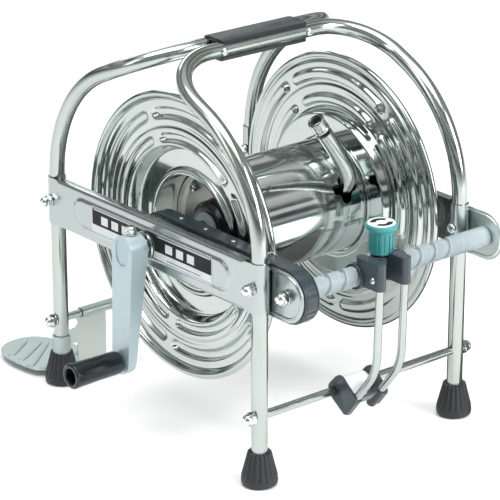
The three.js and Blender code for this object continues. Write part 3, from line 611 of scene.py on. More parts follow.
def screw(name, origin, direction, radius, body, node=None, depth=1.8, shank=4.0):
    """A raised cross-head screw seen from outside, its head growing along direction."""
    profile = fillet([(0, -shank), (radius * 0.45, -shank), (radius * 0.45, 0), (radius, 0),
                      (radius, depth * 0.35), (radius * 0.8, depth * 0.85), (radius * 0.45, depth),
                      (0, depth)], depth * 0.3, 2)
    axis = Vector(direction).normalized()
    side = axis.orthogonal().normalized()
    other = axis.cross(side)
    base = Vector(origin)
    u, v = radius * 0.6, radius * 0.13

    def slot_shape(a, b):
        return prism([(-u, -v), (u, -v), (u, v), (-u, v)], depth * 0.35, depth * 1.4,
                     lambda p, q, along: tuple(base + a * p + b * q + axis * along))

    piece(name, lathe_dir(profile, origin, direction, 28), "fastener", body, node,
          carved=[slot_shape(side, other), slot_shape(other, -side)])


for name, x in (("near", -54.5), ("far", 54.5)):
    screw(f"grip_screw_{name}", (x, -HANDLE_Y - TUBE_R - GAP, HANDLE_Z), (0, -1, 0), 4.1, "frame",
          f"handle_screw_{name}", 1.9)

# ---- rubber feet ----
FOOT_RIBS = 18
RIB_DEPTH = 1.1
FOOT_TOP_R, FOOT_WAIST_Z, FOOT_RISE = 11.3, 7.6, 26.4
FOOT_BASE_R = 17.9


def foot_bump(radius, z, angle):
    """Upright ribs that start above the foot's base and end in a scalloped top edge."""
    if radius < 9.5:
        return radius, z
    wave = smooth((math.cos(FOOT_RIBS * angle) + 0.35) / 0.7)
    rise = smooth((z - 7.0) / 4.0)
    top = smooth((z - 31.0) / 3.0)
    return radius + (wave - 0.5) * RIB_DEPTH * rise, z + (wave - 1) * 1.8 * top


foot = fillet([(0, 0), (14.8, 0), (17.6, 1.6), (18.2, 5.2), (FOOT_BASE_R, FOOT_WAIST_Z)], 1.2, 3)
foot += [(FOOT_BASE_R - (FOOT_BASE_R - FOOT_TOP_R) * i / 14, FOOT_WAIST_Z + FOOT_RISE * i / 14)
         for i in range(1, 15)]
foot += [(10.9, 34.6), (10.0, 34.7), (8.4, 34.0), (8.15, 31.0), (8.15, 4.4), (0, 4.4)]
for name, sx, sy in CORNERS:
    piece(f"rubber_foot_{name}", lathe_z(foot, sx * LEG_X, sy * LEG_Y, 144, foot_bump), "rubber", "frame",
          f"foot_{name}", sharp=60)


# ---- cap nuts and bolts ----
def fit_cap_nut(name, x0, dx, y, z, flats, turn, node, body="frame"):
    """A domed nut on a thin washer face; x0 is its seat and dx the side that it points to."""
    r = flats / 2

    def turned(points, segments=36):
        return lathe_x([(radius, x0 + dx * along) for radius, along in points], y, z, segments)

    washer = turned([(0, 0), (r * 1.07, 0), (r * 1.07, 0.8), (r * 0.98, 1.2), (0, 1.2)])
    dome = turned(fillet([(0, 5.2), (r * 0.92, 5.2), (r * 0.92, 6.8), (r * 0.84, 9.0), (r * 0.5, 11.2),
                          (0, 11.8)], 2.2, 4))
    corner = flats / math.sqrt(3)
    chamfers = turned([(0, 0.9), (corner * 0.86, 0.9), (corner * 1.001, 1.9), (corner * 1.001, 4.4),
                       (corner * 0.82, 5.6), (0, 5.6)], 48)
    obj = new_object(name, prism_x(hexagon(y, z, flats, turn), x0 + dx * 1.0, x0 + dx * 5.6))
    carve(obj, [chamfers], "INTERSECT")
    carve(obj, [washer, dome], "UNION")
    finish(obj, "fastener", body, node, bevel=0.22, limit=28)


for i, (name, sx, sy) in enumerate(CORNERS):
    fit_cap_nut(f"rod_nut_{name}", sx * (LEG_X + TUBE_R + GAP), sx, sy * LEG_Y, ROD_Z, 12.4, 0.3 + i,
                f"rod_cap_nut_{name}")
    extra = 1.5 if name == "far_front" else 0.0
    face = PLATE_X + SHEET + GAP + extra
    fit_cap_nut(f"plate_nut_{name}", sx * face, sx, sy * LEG_Y, BOLT_Z, 11.4, 0.7 + i, f"plate_bolt_{name}")
    if name != "near_front":
        head = fillet([(0, 117), (3.4, 117), (5.2, 118.2), (5.2, 120.2), (0, 120.2)], 0.8, 3)
        piece(f"plate_head_{name}", lathe_x([(r, sx * x) for r, x in head], sy * LEG_Y, BOLT_Z, 36),
              "fastener", "frame")
    piece(f"plate_stud_{name}", bar_x(3, sx * 118.9, sx * face, sy * LEG_Y, BOLT_Z, 24), "fastener", "frame")


# ---- side plates ----
PANEL_Y, PANEL_Z, PANEL_R = (-113.5, 105.0), 205.5, 15.5
PLATE_FLAT_Y = 148
PLATE_COLUMNS, PLATE_ROWS = 150, 36
WRAP = math.radians(24)


def panel_height(y, z):
    """Raised panel: a soft rib follows its outline, and the inside stands a little proud."""
    outside = math.hypot(y - min(max(y, PANEL_Y[0]), PANEL_Y[1]), z - PANEL_Z) - PANEL_R
    rib = 0.9 * math.exp(-((outside + 1.6) / 1.5) ** 2)
    return 1.5 * (1 - smooth((outside + 3.0) / 3.0)) + rib


def side_plate(name, node, sx):
    """The strap with its wrapped ends, as one skin that is thickened afterwards."""
    outer = TUBE_R + GAP + SHEET
    plan = arc(-LEG_X, -LEG_Y, outer, WRAP, -math.pi, 24)
    plan += [(-PLATE_X - SHEET, -LEG_Y + 2 * LEG_Y * i / PLATE_COLUMNS) for i in range(1, PLATE_COLUMNS)]
    plan += arc(-LEG_X, LEG_Y, outer, math.pi, -WRAP, 24)
    verts, faces, grid = [], [], []
    for x, y in plan:
        flat = abs(y) < PLATE_FLAT_Y and x < -PLATE_X
        line = []
        for k in range(PLATE_ROWS + 1):
            z = PLATE_Z0 + (PLATE_Z1 - PLATE_Z0) * k / PLATE_ROWS
            px = x
            if x < -PLATE_X:
                # The long edges turn softly inwards between the legs.
                px -= panel_height(y, z)
                px += 1.6 * (smooth((z - PLATE_Z1 + 2.6) / 2.6) ** 2) * flat
                px += 1.0 * (smooth((PLATE_Z0 + 2.0 - z) / 2.0) ** 2) * flat
            line.append(len(verts))
            verts.append((sx * -px, y, z))
        grid.append(line)
    for a, b in zip(grid, grid[1:]):
        for k in range(PLATE_ROWS):
            faces.append([a[k], b[k], b[k + 1], a[k + 1]])
    obj = new_object(name, (verts, faces))
    shell = obj.modifiers.new("sheet", "SOLIDIFY")
    shell.thickness = SHEET / MM_PER_METRE
    shell.offset = -1
    bake(obj)
    carve(obj, [bar_x(12.3, sx * 160, sx * 125, 0, AXLE_Z, 48)])
    finish(obj, "plate_steel", "frame", node, sharp=50)
    # Folded top edge: a lip that turns inwards with a soft corner.
    lip = [(PLATE_X + SHEET - 1.6, PLATE_Z1 - 0.35), (PLATE_X - 2.2, PLATE_Z1), (PLATE_X - 8.6, PLATE_Z1),
           (PLATE_X - 9.0, PLATE_Z1 - 0.6), (PLATE_X - 8.6, PLATE_Z1 - SHEET),
           (PLATE_X - 0.6, PLATE_Z1 - SHEET)]
    piece(f"{name}_lip", prism_y([(sx * x, z) for x, z in lip], -PLATE_FLAT_Y, PLATE_FLAT_Y), "plate_steel",
          "frame", bevel=0.3)


side_plate("near_strap", "near_side_plate", -1)
side_plate("far_strap", "far_side_plate", 1)

# ---- label, bearings, end brackets ----
LABEL_X = -141.1
PRINT_X = LABEL_X - 0.17
BLOCK_Z, RULE_Z = (203.6, 212.4), (216.4, 217.3)


def label_layer(name, y, z, x0, thickness, material, node=None, cut_radius=None, r=0.8):
    """One thin layer of the label; its face is at x0 and cut_radius clears the crank's collar."""
    carved = [bar_x(cut_radius, -150, -135, 0, AXLE_Z, 64)] if cut_radius else []
    piece(name, prism_x(rounded(*y, *z, r, 3), x0 - thickness, x0), material, "frame", node, carved=carved)


label_layer("label_sheet", (-104, 87.5), (190.8, 220), LABEL_X, 0.16, "label_pale", "label_plate", 14.6)
label_layer("label_band", (-103.3, 86.8), (200.9, 219.4), PRINT_X, 0.06, "label_dark", cut_radius=15.0)
bars = [((19.5, 84.5), RULE_Z), ((-101.5, -19.5), RULE_Z)]
bars += [((y, y + 11), BLOCK_Z) for y in (27, 44, 61, -43, -60, -77)]
for i, (y, z) in enumerate(bars):
    label_layer(f"label_bar_{i}", y, z, LABEL_X - 0.24, 0.05, "label_pale", r=0.3)
label_layer("label_rule", (-86, -34), (195.2, 196.0), PRINT_X, 0.05, "label_dark", r=0.3)

BUSH_X = 141.6
for name, node, sx, flange_r, material in (("bearing_near", "crank_collar", -1, 14.0, "rod_steel"),
                                           ("bearing_far", "far_bearing", 1, 17.0, "nylon")):
    bush = ring([(8.4, BUSH_X + 2.4), (flange_r - 1.6, BUSH_X + 2.4), (flange_r, BUSH_X + 1.0),
                 (flange_r, BUSH_X), (12, BUSH_X), (12, 121.2), (8.4, 121.2)], 0.7, 3)
    piece(name, lathe_x([(r, sx * x) for r, x in bush], 0, AXLE_Z, 64), material, "frame", node)


def inset(outline, distance):
    """Moves a smooth convex outline inwards."""
    out = []
    count = len(outline)
    for i, p in enumerate(outline):
        a, b = Vector(outline[i - 1]), Vector(outline[(i + 1) % count])
        along = (b - a).normalized()
        out.append((p[0] - along.y * distance, p[1] + along.x * distance))
    return out


def end_bracket(side, outline, bead_line, x, material, bevel, holes, reach):
    """A sheet bracket with a pressed bead, half sunk in the sheet, that follows its edge."""
    piece(f"{side}_bracket_sheet", prism_x(outline, x, x + SHEET), material, "frame", f"{side}_end_bracket",
          bevel=bevel, steps=3, carved=[bar_x(r, *reach, y, z) for r, y, z in holes])
    bead = [(x + 0.3, u, v) for u, v in bead_line]
    piece(f"{side}_bracket_bead", sweep(bead, 1.3, 10, closed=True), material, "frame")


END_R = 25
CASE_REAR_Y = 6.0
SCREW_HOLE, BOLT_HOLE = (5.4, SCREW_Y, SCREW_Z), (3.3, -LEG_Y, BOLT_Z)


def case_outline(r):
    """The long outline of the gear case, from the axle to the reversing screw."""
    return capsule(CASE_REAR_Y, AXLE_Z, r, SCREW_Y, SCREW_Z, r, 40)


end_bracket("near", case_outline(END_R), inset(case_outline(END_R), 4.0), -120.2, "plate_steel", 0.45,
            ((8.6, 0, AXLE_Z), SCREW_HOLE, BOLT_HOLE), (-130, -110))
far_end = [(-134, SCREW_Z + END_R)] + arc(SCREW_Y, SCREW_Z, END_R, math.pi / 2, 1.5 * math.pi, 40)
far_end += [(-134, SCREW_Z - END_R)]
# The far bracket is drawn in the lighter steel, which is painted light.
end_bracket("far", fillet(far_end, 5, 5, closed=True, least=0.6),
            inset(fillet(far_end, 7, 6, closed=True, least=0.6), 3.6), PLATE_X + SHEET + GAP, "lit_bracket_steel",
            0.4, (SCREW_HOLE, BOLT_HOLE), (120, 160))

# ---- gear case ----
CASE_X0, CASE_X1, COVER_X1 = -118.7, -103.3, -101.6
CASE_R, CASE_WALL = 27, 1.6

room = prism_x(case_outline(CASE_R - CASE_WALL), CASE_X0 + 1.5, CASE_X1 + 3)
piece("case_shell", prism_x(case_outline(CASE_R), CASE_X0, CASE_X1), "slate", "frame", "gear_case_shell",
      bevel=1.4, steps=4,
      carved=[room, bar_x(8.6, -125, -110, 0, AXLE_Z), bar_x(5.6, -125, -110, SCREW_Y, SCREW_Z)])
piece("case_cover", prism_x(case_outline(CASE_R), CASE_X1 + GAP, COVER_X1), "slate", "frame",
      "gear_case_cover", bevel=0.5, steps=3,
      carved=[bar_x(8.6, -125, -90, 0, AXLE_Z), bar_x(7.6, -125, -90, SCREW_Y, SCREW_Z)])


def curved_bar(u, v, outer_r, inner_r, start, end, steps):
    """A bar bent round (u, v), from one angle in degrees to another."""
    start, end = math.radians(start), math.radians(end)
    return arc(u, v, outer_r, start, end, steps) + arc(u, v, inner_r, end, start, steps)


# Raised panels round the front of the case, as angles about the screw.
for i, (start, end) in enumerate(((120, 150), (157, 196), (203, 214), (219, 262))):
    band = prism_x(curved_bar(SCREW_Y, SCREW_Z, 27.7, 26.2, start, end, 16), CASE_X0 + 2.0, CASE_X1 - 1.0)
    piece(f"case_panel_{i}", band, "slate", "frame", bevel=0.5, steps=3)
for i, y in enumerate((-20, -58, -100)):
    top = SCREW_Z + 27.2 + (y + 189) * 2.5 / 189
    screw(f"case_screw_{i}", (-111, y, top), (0, 0, 1), 2.7, "frame", depth=1.4, shank=2.0)
clip = [(-116.6, 226.4), (-116.6, 229.2), (-113, 230.2), (-106, 230.2), (-103.4, 228.6)]
piece("case_clip", sweep([(x, -150, z) for x, z in clip], 0.9, 12), "fastener", "frame")
# The gears are hidden in the case, so the CAD's own shapes stay.
for name in ("drive_gear", "idler_gear_1", "idler_gear_2", "idler_gear_3", "worm_pinion"):
    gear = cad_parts[name].data
    gear.materials.clear()
    gear.materials.append(MATERIALS["nylon"])

# ---- drum ----
SECTORS = 5
RIB_HEIGHT = 4.2
RIBS = ((124.0, 6.6, math.radians(5.2)), (98.8, 5.4, math.radians(6.6)))    # radius, half width, half gap
RIB_FIELD = (91.5, 133)


def rib_height(r, angle, phase):
    """Five sectors, each with an outer and an inner pressed rib that end in round noses."""
    sector = TAU / SECTORS
    local = (angle - phase) % sector - sector / 2
    height = 0.0
    for centre, half_width, gap in RIBS:
        reach = max(0.0, abs(local) - (sector / 2 - gap)) * centre
        edge = math.hypot(r - centre, reach) / half_width
        height = max(height, RIB_HEIGHT * (1 - smooth((edge - 0.42) / 0.58)))
    return height


def flange_base(r):
    """Distance of the sheet from the flat field towards the hose."""
    bowl = 14.0 * (1 - smooth((r - 84.8) / 6.6))
    channel = -2.4 * smooth((r - 136.6) / 3.6)
    step = 0.9 * (smooth((r - 108.5) / 1.6) - smooth((r - 113.0) / 1.6))
    return bowl + channel + step


def flange(name, node, field_x, direction, phase):
    """A pressed disc with a rolled rim; direction is the side that the hose is on."""
    radii = [66.8, 67.6, 70, 74, 78, 81, 83.4]
    radii += [84.8 + 0.7 * i for i in range(11)]
    radii += [93 + 0.95 * i for i in range(13)] + [106, 107.6, 109, 110.2, 111.6, 113, 114.4, 116]
    radii += [117.2 + 1.05 * i for i in range(15)] + [133.4, 135.2, 136.6, 138, 139.4]
    profile = [(60.5, 13.4), (60.5, 11.4), (61.2, 10.2), (62.6, 9.6), (64.2, 9.9), (65.2, 11.2), (65.9, 13.0)]
    profile += [(r, flange_base(r)) for r in radii]
    rim = [math.radians(-160 + 300 * i / 18) for i in range(19)]
    profile += [(143.8 + 3.5 * math.cos(a), -3.0 + 3.5 * math.sin(a)) for a in rim]
    profile += [(r, flange_base(r) + 1.0) for r in reversed(radii)]
    profile += [(65.2, 14.6), (63.6, 14.9), (61.6, 14.8)]

    def bump(r, x, angle):
        if r <= RIB_FIELD[0] or r >= RIB_FIELD[1]:
            return r, x
        return r, x + direction * rib_height(r, angle, phase)

    section = closed_loop([(r, field_x + direction * s) for r, s in profile])
    piece(name, lathe_x(section, 0, AXLE_Z, 320, bump), "drum_steel", "drum", node, sharp=60)


flange("flange_disc_near", "near_flange", -94.0, 1, math.radians(65.5))
flange("flange_disc_far", "far_flange", 112.0, -1, math.radians(53.0))

HOLE_X, HOLE_ANGLE = 73.0, math.radians(65.3)


def lobe(dx, dv, r):
    """A cutter that points out of the barrel at the pipe's opening."""
    verts, faces = bar_z(r, 45, 75, dx, dv, 36)
    c, s = math.cos(HOLE_ANGLE), math.sin(HOLE_ANGLE)
    return [(HOLE_X + x, y * c - z * s, AXLE_Z + y * s + z * c) for x, y, z in verts], faces


clover = ((0, 0, 9.4), (-9.6, 1.5, 5.6), (9.6, 1.5, 5.6), (0, -8.2, 6.4), (0, 7.4, 6.6))
piece("barrel_tube", lathe_x(closed_loop([(58.8, -83), (60, -83), (60, 101), (58.8, 101)]), 0, AXLE_Z, 160),
      "barrel_steel", "drum", "drum_barrel", carved=[lobe(*leaf) for leaf in clover])

END_MID = 22.4
disc = ring([(8.3, -52), (49.5, -52), (52.5, -54.6), (58.2, -54.6), (58.2, -53.4), (54, -50.7), (8.3, -50.7)],
            1.2, 4)
hub = ring([(8.3, -63), (22, -63), (26.8, -60), (26.8, -52.4), (8.3, -52.4)], 1.5, 4)
# The end discs take the darker steel, which is painted shade of the barrel's recess.
for name, middle, facing in (("near", 0.0, 1), ("far", 2 * END_MID, -1)):
    end_disc = lathe_x([(r, middle + facing * x) for r, x in disc], 0, AXLE_Z, 96)
    end_hub = lathe_x([(r, middle + facing * x) for r, x in hub], 0, AXLE_Z, 64)
    piece(f"end_disc_{name}", end_disc, "shaded_end_steel", "drum", f"{name}_barrel_plate")
    piece(f"hub_disc_{name}", end_hub, "black", "drum", f"{name}_drum_hub")
screw("end_plate_screw", (-52, 32.7, 234.3), (-1, 0, 0), 5.0, "drum", depth=5.4, shank=3.0)
bush = ring([(8.3, -68), (13, -68), (16, -66.6), (17, -63.4), (8.3, -63.4)], 1.4, 5)
piece("bush_dome", lathe_x(bush, 0, AXLE_Z, 64), "nylon", "drum", "hub_bush")
axle = [(0, -165.6), (7.2, -165.6), (8, -164.8), (8, 157), (7.6, 158), (5, 158), (5, 62), (0, 60)]
piece("axle_bar", lathe_x(axle, 0, AXLE_Z, 48), "rod_steel", "drum", "axle")


def curve(points, steps):
    """Catmull-Rom points through a polyline."""
    path = [Vector(p) for p in points]
    path = [2 * path[0] - path[1]] + path + [2 * path[-1] - path[-2]]
    out = []
    for i in range(1, len(path) - 2):
        a, b, c, d = path[i - 1:i + 3]
        for k in range(steps):
            t = k / steps
            out.append(0.5 * (2 * b + (c - a) * t + (2 * a - 5 * b + 4 * c - d) * t ** 2
                              + (3 * b - a - 3 * c + d) * t ** 3))
    return out + [path[-2]]


# The outlet pipe comes out of the clover, narrower there, then bends and runs towards the crank side.
PIPE = [(73, -8.6, 206), (73, -24, 213.1), (73, -40, 220.4), (72.8, -49, 225), (72, -56.5, 230.4),
        (70, -62, 238), (66.5, -65.4, 247), (61.5, -67, 257), (55, -67.6, 267.5), (47, -67.6, 279),
        (38, -67.4, 291.5), (29.5, -67, 303), (21.5, -66.6, 314)]
PIPE_R, PIPE_NARROWING = 8.3, 1.9
NIPPLE_POINTS = 8
pipe_path = curve(PIPE, 6)[:-NIPPLE_POINTS]
pipe_radii = [PIPE_R - PIPE_NARROWING * (1 - smooth((p.z - 229) / 18)) for p in pipe_path]
piece("outlet_tube", sweep(pipe_path, PIPE_R, 40, 4.8, radii=pipe_radii), "tube_steel", "drum", "outlet_pipe")
tip, back = Vector(PIPE[-1]), Vector(PIPE[-2])
nose = (tip - back).normalized()
nipple = ring([(5.4, -14), (8.3, -14), (8.7, -13.4), (8.7, -11.4), (8.3, -10.8), (8.3, -2.2), (8.9, -1.6),
               (8.9, 0), (6.6, 0), (6.6, -6), (5.4, -6)], 0.4, 3)
# Painted shade: a dark rubber ring in the nipple's mouth stands for the shade inside the opening.
shade_ring = closed_loop([(4.6, -5.8), (6.5, -5.8), (6.5, -0.8), (5.6, -0.8)])
piece("outlet_nipple", lathe_dir(nipple, tip, nose, 40), "tube_steel", "drum")
piece("outlet_shade_ring", lathe_dir(shade_ring, tip, nose, 40), "rubber", "drum")

# ---- crank ----
GRIP_Z = AXLE_Z - 114.5


def crank_face(z):
    return -170.2 - (202 - z) * 4.8 / 130


def crank_back(z):
    return -149.4 + (min(204, z) - 204) * 17.2 / 132


arm_outline = capsule(0, AXLE_Z, 16, 0, GRIP_Z, 13.5, 40)
arm_verts, arm_faces = prism_x(arm_outline, 0, 1)
arm_verts = [((crank_face, crank_back)[x](z), y, z) for x, y, z in arm_verts]
recess = capsule(0, AXLE_Z + 4.0, 10.2, 0, AXLE_Z - 5, 9.6, 24)
piece("crank_casting", (arm_verts, arm_faces), "enamel", "drum", "crank_arm", bevel=2.1, steps=4, limit=40,
      carved=[prism_x(recess, -180, -169.4), bar_x(8.3, -166, -140, 0, AXLE_Z, 40),
              bar_x(4.3, -180, -160, 0, GRIP_Z)])
bolt = fillet([(0, 210.6), (2.5, 210.6), (2.5, 218.4), (5.8, 218.4), (5.8, 219.7), (4.7, 219.9), (4.7, 221.2),
               (5.6, 221.4), (5.6, 222.5), (4.5, 222.6), (4.5, 225.8), (3.8, 226.4), (0, 226.4)], 0.4, 2)
piece("crank_bolt", lathe_z(bolt, -158.5, 0, 36), "fastener", "drum", "crank_set_bolt")
spindle = fillet([(0, -218.6), (6.4, -218.6), (6.4, -216), (4, -216), (4, -163.2), (6, -163.2), (6, -161.4),
                  (0, -161.4)], 0.6, 3)
piece("crank_spindle", lathe_x(spindle, 0, GRIP_Z, 32), "rod_steel", "drum", "grip_spindle")


def grip_bump(r, x, angle):
    """Fine flutes along the straight part of the grip."""
    if r < 11.9 or x > -181 or x < -233:
        return r, x
    return r - 0.16 * (0.5 + 0.5 * math.cos(14 * angle)), x


grip = ring([(8.2, -236), (11.6, -236), (13.1, -234.4), (12.8, -226), (12.1, -205), (12.1, -182),
             (10.8, -177.4), (4.4, -177.2), (4.4, -215.6), (8.2, -215.6)], 1.4, 4)
piece("crank_sleeve", lathe_x(grip, 0, GRIP_Z, 112, grip_bump), "black", "crank_grip", "crank_grip", sharp=50)

# ---- reversing screw ----
LEAD = 19.5
GROOVE_START = 0.13
CROSSING = 160 / 360
GROOVE_ENDS = (-98.5, 97.0)
GROOVES = ((-1, 0, 2.1, 2.9), (1, -2 * CROSSING, 0.4, 0.5))     # hand, start, half width, depth
SHOULDER_X = 103.0
SCREW_X0, SCREW_X1, SCREW_STEPS = -99.6, 107.0, 440


def groove_depth(x, angle):
    """The deep groove of one hand, the shallow return groove that crosses it, and a line at the plain end."""
    turn = angle / TAU
    depth = 0.35 * math.exp(-((x - SHOULDER_X) / 0.8) ** 2)
    if not GROOVE_ENDS[0] < x < GROOVE_ENDS[1]:
        return depth
    fade = smooth((x - GROOVE_ENDS[0]) / 3) * smooth((GROOVE_ENDS[1] - x) / 3)
    for hand, start, half_width, full in GROOVES:
        away = abs((x / LEAD - GROOVE_START - (hand * turn + start)) % 1.0 - 0.5) * LEAD
        depth = max(depth, full * fade * (1 - smooth((away - half_width) / 1.0)))
    return depth


def screw_bump(r, x, angle):
    return (r - groove_depth(x, angle) if r > SCREW_R - 0.1 else r), x


profile = [(0, -129.5), (4, -129.5), (4, -120.2), (5, -120.2), (5, -104.4), (7, -104), (7, -100.8)]
profile += [(SCREW_R - 0.6, -100.8), (SCREW_R, -100.2)]
profile += [(SCREW_R, SCREW_X0 + (SCREW_X1 - SCREW_X0) * i / SCREW_STEPS) for i in range(SCREW_STEPS + 1)]
profile += [(SCREW_R, 110), (SCREW_R, 138.7), (SCREW_R - 0.6, 139.3), (5, 139.3), (5, 144), (4.4, 144.5),
            (0, 144.5)]
piece("screw_body", lathe_x(profile, SCREW_Y, SCREW_Z, 90, screw_bump), "nylon", "reversing_screw",
      "worm_screw", sharp=55)
fit_cap_nut("screw_nut", -120.6, -1, SCREW_Y, SCREW_Z, 13, 0.2, "worm_end_nut", "reversing_screw")

# ---- carriage ----
GUIDE_X, GUIDE_Y = (-28.3, 3.7), -218.7
GUIDES = (("near", GUIDE_X[0], -1), ("far", GUIDE_X[1], 1))
KNOB_X = -0.3
BORE_R, SLEEVE_R = SCREW_R + 0.4, 13.2
bore_x = bar_x(BORE_R, -60, 60, SCREW_Y, SCREW_Z, 56)
knob_room = bar_z(13.2, 216, 230, KNOB_X, SCREW_Y, 48)
sleeve = ring([(BORE_R, -36.5), (SLEEVE_R, -36.5), (SLEEVE_R, 27.0), (BORE_R, 27.0)], 1.2, 4)
piece("carriage_sleeve", lathe_x(sleeve, SCREW_Y, SCREW_Z, 64), "slate", "carriage", "carriage_body")
for name, x, _ in GUIDES:
    clamp = prism_z(capsule(x, GUIDE_Y, 5.8, x, SCREW_Y - 4, 5.8, 16), 192.3, 219.5)
    piece(f"clamp_{name}", clamp, "slate", "carriage", bevel=1.1, steps=3, limit=50,
          carved=[bar_z(4.3, 180, 216.5, x, GUIDE_Y), bore_x, knob_room])
x0, x1 = GUIDE_X[1] - 4.4, GUIDE_X[1] + 4.4
for i in range(4):
    y0 = GUIDE_Y - 3.6 + 4.2 * i
    y1 = y0 + 1.9
    stripe = prism_z([(x0, y0), (x1, y0), (x1, y1), (x0, y1)], 218.9, 220.1)
    piece(f"clamp_stripe_{i}", stripe, "slate", "carriage", bevel=0.35)
post = ring([(3.3, 206), (11.6, 206), (11.6, 213.2), (10.6, 214.2), (9.0, 214.2), (9.0, 216), (3.3, 216)],
            0.6, 3)
piece("knob_post", lathe_z(post, KNOB_X, SCREW_Y, 48), "slate", "carriage", carved=[bore_x])
screw("carriage_screw", (-34.1, -214.5, 202.1), (-1, 0, 0), 3.2, "carriage", depth=1.6, shank=3.0)
peg = fillet([(0, 8), (2.6, 8), (2.6, 14.4), (1.6, 15.4), (0, 15.4)], 0.6, 3)
piece("carriage_peg", lathe_x(peg, -206, 196, 24), "slate", "carriage")

# ---- knob ----
KNOB_FLUTES = 15
FLUTE_Z = (218, 237.5)


def knob_bump(r, z, angle):
    if not FLUTE_Z[0] < z < FLUTE_Z[1] or r < 12.2:
        return r, z
    flute = smooth((math.cos(KNOB_FLUTES * angle) - 0.05) / 0.5)
    return r - 0.9 * flute * smooth((z - FLUTE_Z[0]) / 1.5) * smooth((FLUTE_Z[1] - z) / 1.5), z


knob = [(0, 228.9), (3.3, 228.9), (3.3, 216.3), (11.6, 216.3), (12.4, 217.2)]
knob += [(12.6, 217.8 + i) for i in range(21)]
knob += fillet([(12.6, 239.2), (13.4, 240.4), (15.4, 240.8), (16, 242), (16, 245.4), (15, 246.6),
                (14.3, 246.6), (14.1, 245.4), (0, 245.3)], 0.8, 3)
piece("knob_body", lathe_z(knob, KNOB_X, SCREW_Y, 180, knob_bump), "teal", "knob", "traverse_knob", sharp=50)
cap = fillet([(0, 245.5), (13.6, 245.5), (13.8, 246.4), (13.2, 246.8), (0, 246.8)], 0.4, 3)
piece("knob_cap_disc", lathe_z(cap, KNOB_X, SCREW_Y, 64), "white", "knob", "knob_disc")
for i, start in enumerate((20, 200)):
    band = curved_bar(KNOB_X, SCREW_Y, 11.0, 5.6, start, start + 130, 20)
    piece(f"knob_mark_{i}", prism_z(band, 246.82, 246.92), "label_dark", "knob")
pin = fillet([(0, 210.1), (2, 210.1), (3, 211.7), (3, 228.6), (0, 228.6)], 0.5, 3)
piece("pawl_pin", lathe_z(pin, KNOB_X, SCREW_Y, 32), "fastener", "knob", "follower_pawl")

# ---- hose guide ----
SLANT = Vector((0, 0.61, -0.79)).normalized()
KNEE = Vector((0, GUIDE_Y + 2.9, 106))
KNEE_REACH = 18
for name, x, _ in GUIDES:
    knee, hang = KNEE + Vector((x, 0, 0)), Vector((x, GUIDE_Y, 190))
    start, end = knee + (hang - knee).normalized() * KNEE_REACH, knee + SLANT * KNEE_REACH
    path = [Vector((x, GUIDE_Y, 216)), Vector((x, GUIDE_Y, 192)), hang, (hang + start) / 2]
    for k in range(17):
        t = k / 16
        path.append((1 - t) ** 2 * start + 2 * t * (1 - t) * knee + t * t * end)
    path += [knee + SLANT * 40, knee + SLANT * 67]
    piece(f"guide_bar_{name}", sweep(path, 4.0, 32), "tube_steel", "carriage", f"guide_rod_{name}")


def down_rod(distance, r):
    """A circle (y, z, radius) on the slanted part of the guide rods, at a distance from the knee."""
    point = KNEE + SLANT * distance
    return point.y, point.z, r


def wrapped(circles, steps=40):
    """Outline stretched round any number of circles."""
    points = sorted((u + r * math.cos(TAU * i / steps), v + r * math.sin(TAU * i / steps))
                    for u, v, r in circles for i in range(steps))

    def chain(items):
        kept = []
        for p in items:
            while len(kept) > 1 and ((kept[-1][0] - kept[-2][0]) * (p[1] - kept[-2][1])
                                     - (kept[-1][1] - kept[-2][1]) * (p[0] - kept[-2][0])) < 1e-9:
                kept.pop()
            kept.append(p)
        return kept[:-1]

    return chain(points) + chain(reversed(points))


ROD_BORE_R = 4.7
cheek = wrapped([(-LEG_Y, ROD_Z, 9.8), (-LEG_Y - 6.5, ROD_Z + 9, 8.5), down_rod(47, 5.5),
                 down_rod(63.7, 5.5)])
socket = fillet([(4.2, 44), (5.0, 44), (5.5, 44.6), (5.5, 67.6), (4.6, 69.7), (0, 69.7), (0, 67.2),
                 (4.2, 67.2)], 0.7, 3)
for name, x, side in GUIDES:
    knee = KNEE + Vector((x, 0, 0))
    span = sorted((x + side * 2.7, x + side * 5.5))
    rod_room = bar_x(ROD_BORE_R, x - 20, x + 20, -LEG_Y, ROD_Z, 40)
    guide_room = lathe_dir(bar_profile(4.2, 30, 67.2), knee, SLANT, 32)
    node = "lower_guide_bracket" if name == "near" else None
    piece(f"bracket_cheek_{name}", prism_x(cheek, *span), "slate", "carriage", node, bevel=0.5, steps=3,
          carved=[rod_room, guide_room])
    collar = ring([(r, x + side * out) for r, out in ((ROD_BORE_R, 5), (7.2, 5), (7.2, 6.6), (6.0, 6.6),
                                                      (6.0, 6.1), (ROD_BORE_R, 6.1))], 0.3, 2)
    piece(f"bracket_collar_{name}", lathe_x(collar, -LEG_Y, ROD_Z, 48), "slate", "carriage")
    piece(f"bracket_socket_{name}", lathe_dir(closed_loop(socket), knee, SLANT, 40), "slate", "carriage")
bar = capsule(*down_rod(47, 1.7), *down_rod(55, 1.7), 12)
piece("bracket_bar", prism_x(bar, GUIDE_X[0] + 4.9, GUIDE_X[1] - 4.9), "slate", "carriage", bevel=0.3)
start, end = GUIDE_X[0] - 2.3, GUIDE_X[1] + 2.3
roller = ring([(ROD_BORE_R, start), (9.8, start), (10.6, start + 1.2), (10.9, -12.3), (10.6, end - 1.2),
               (9.8, end), (ROD_BORE_R, end)], 0.7, 3)
piece("roller_sleeve", lathe_x(roller, -LEG_Y, ROD_Z, 56), "white", "roller", "guide_roller")

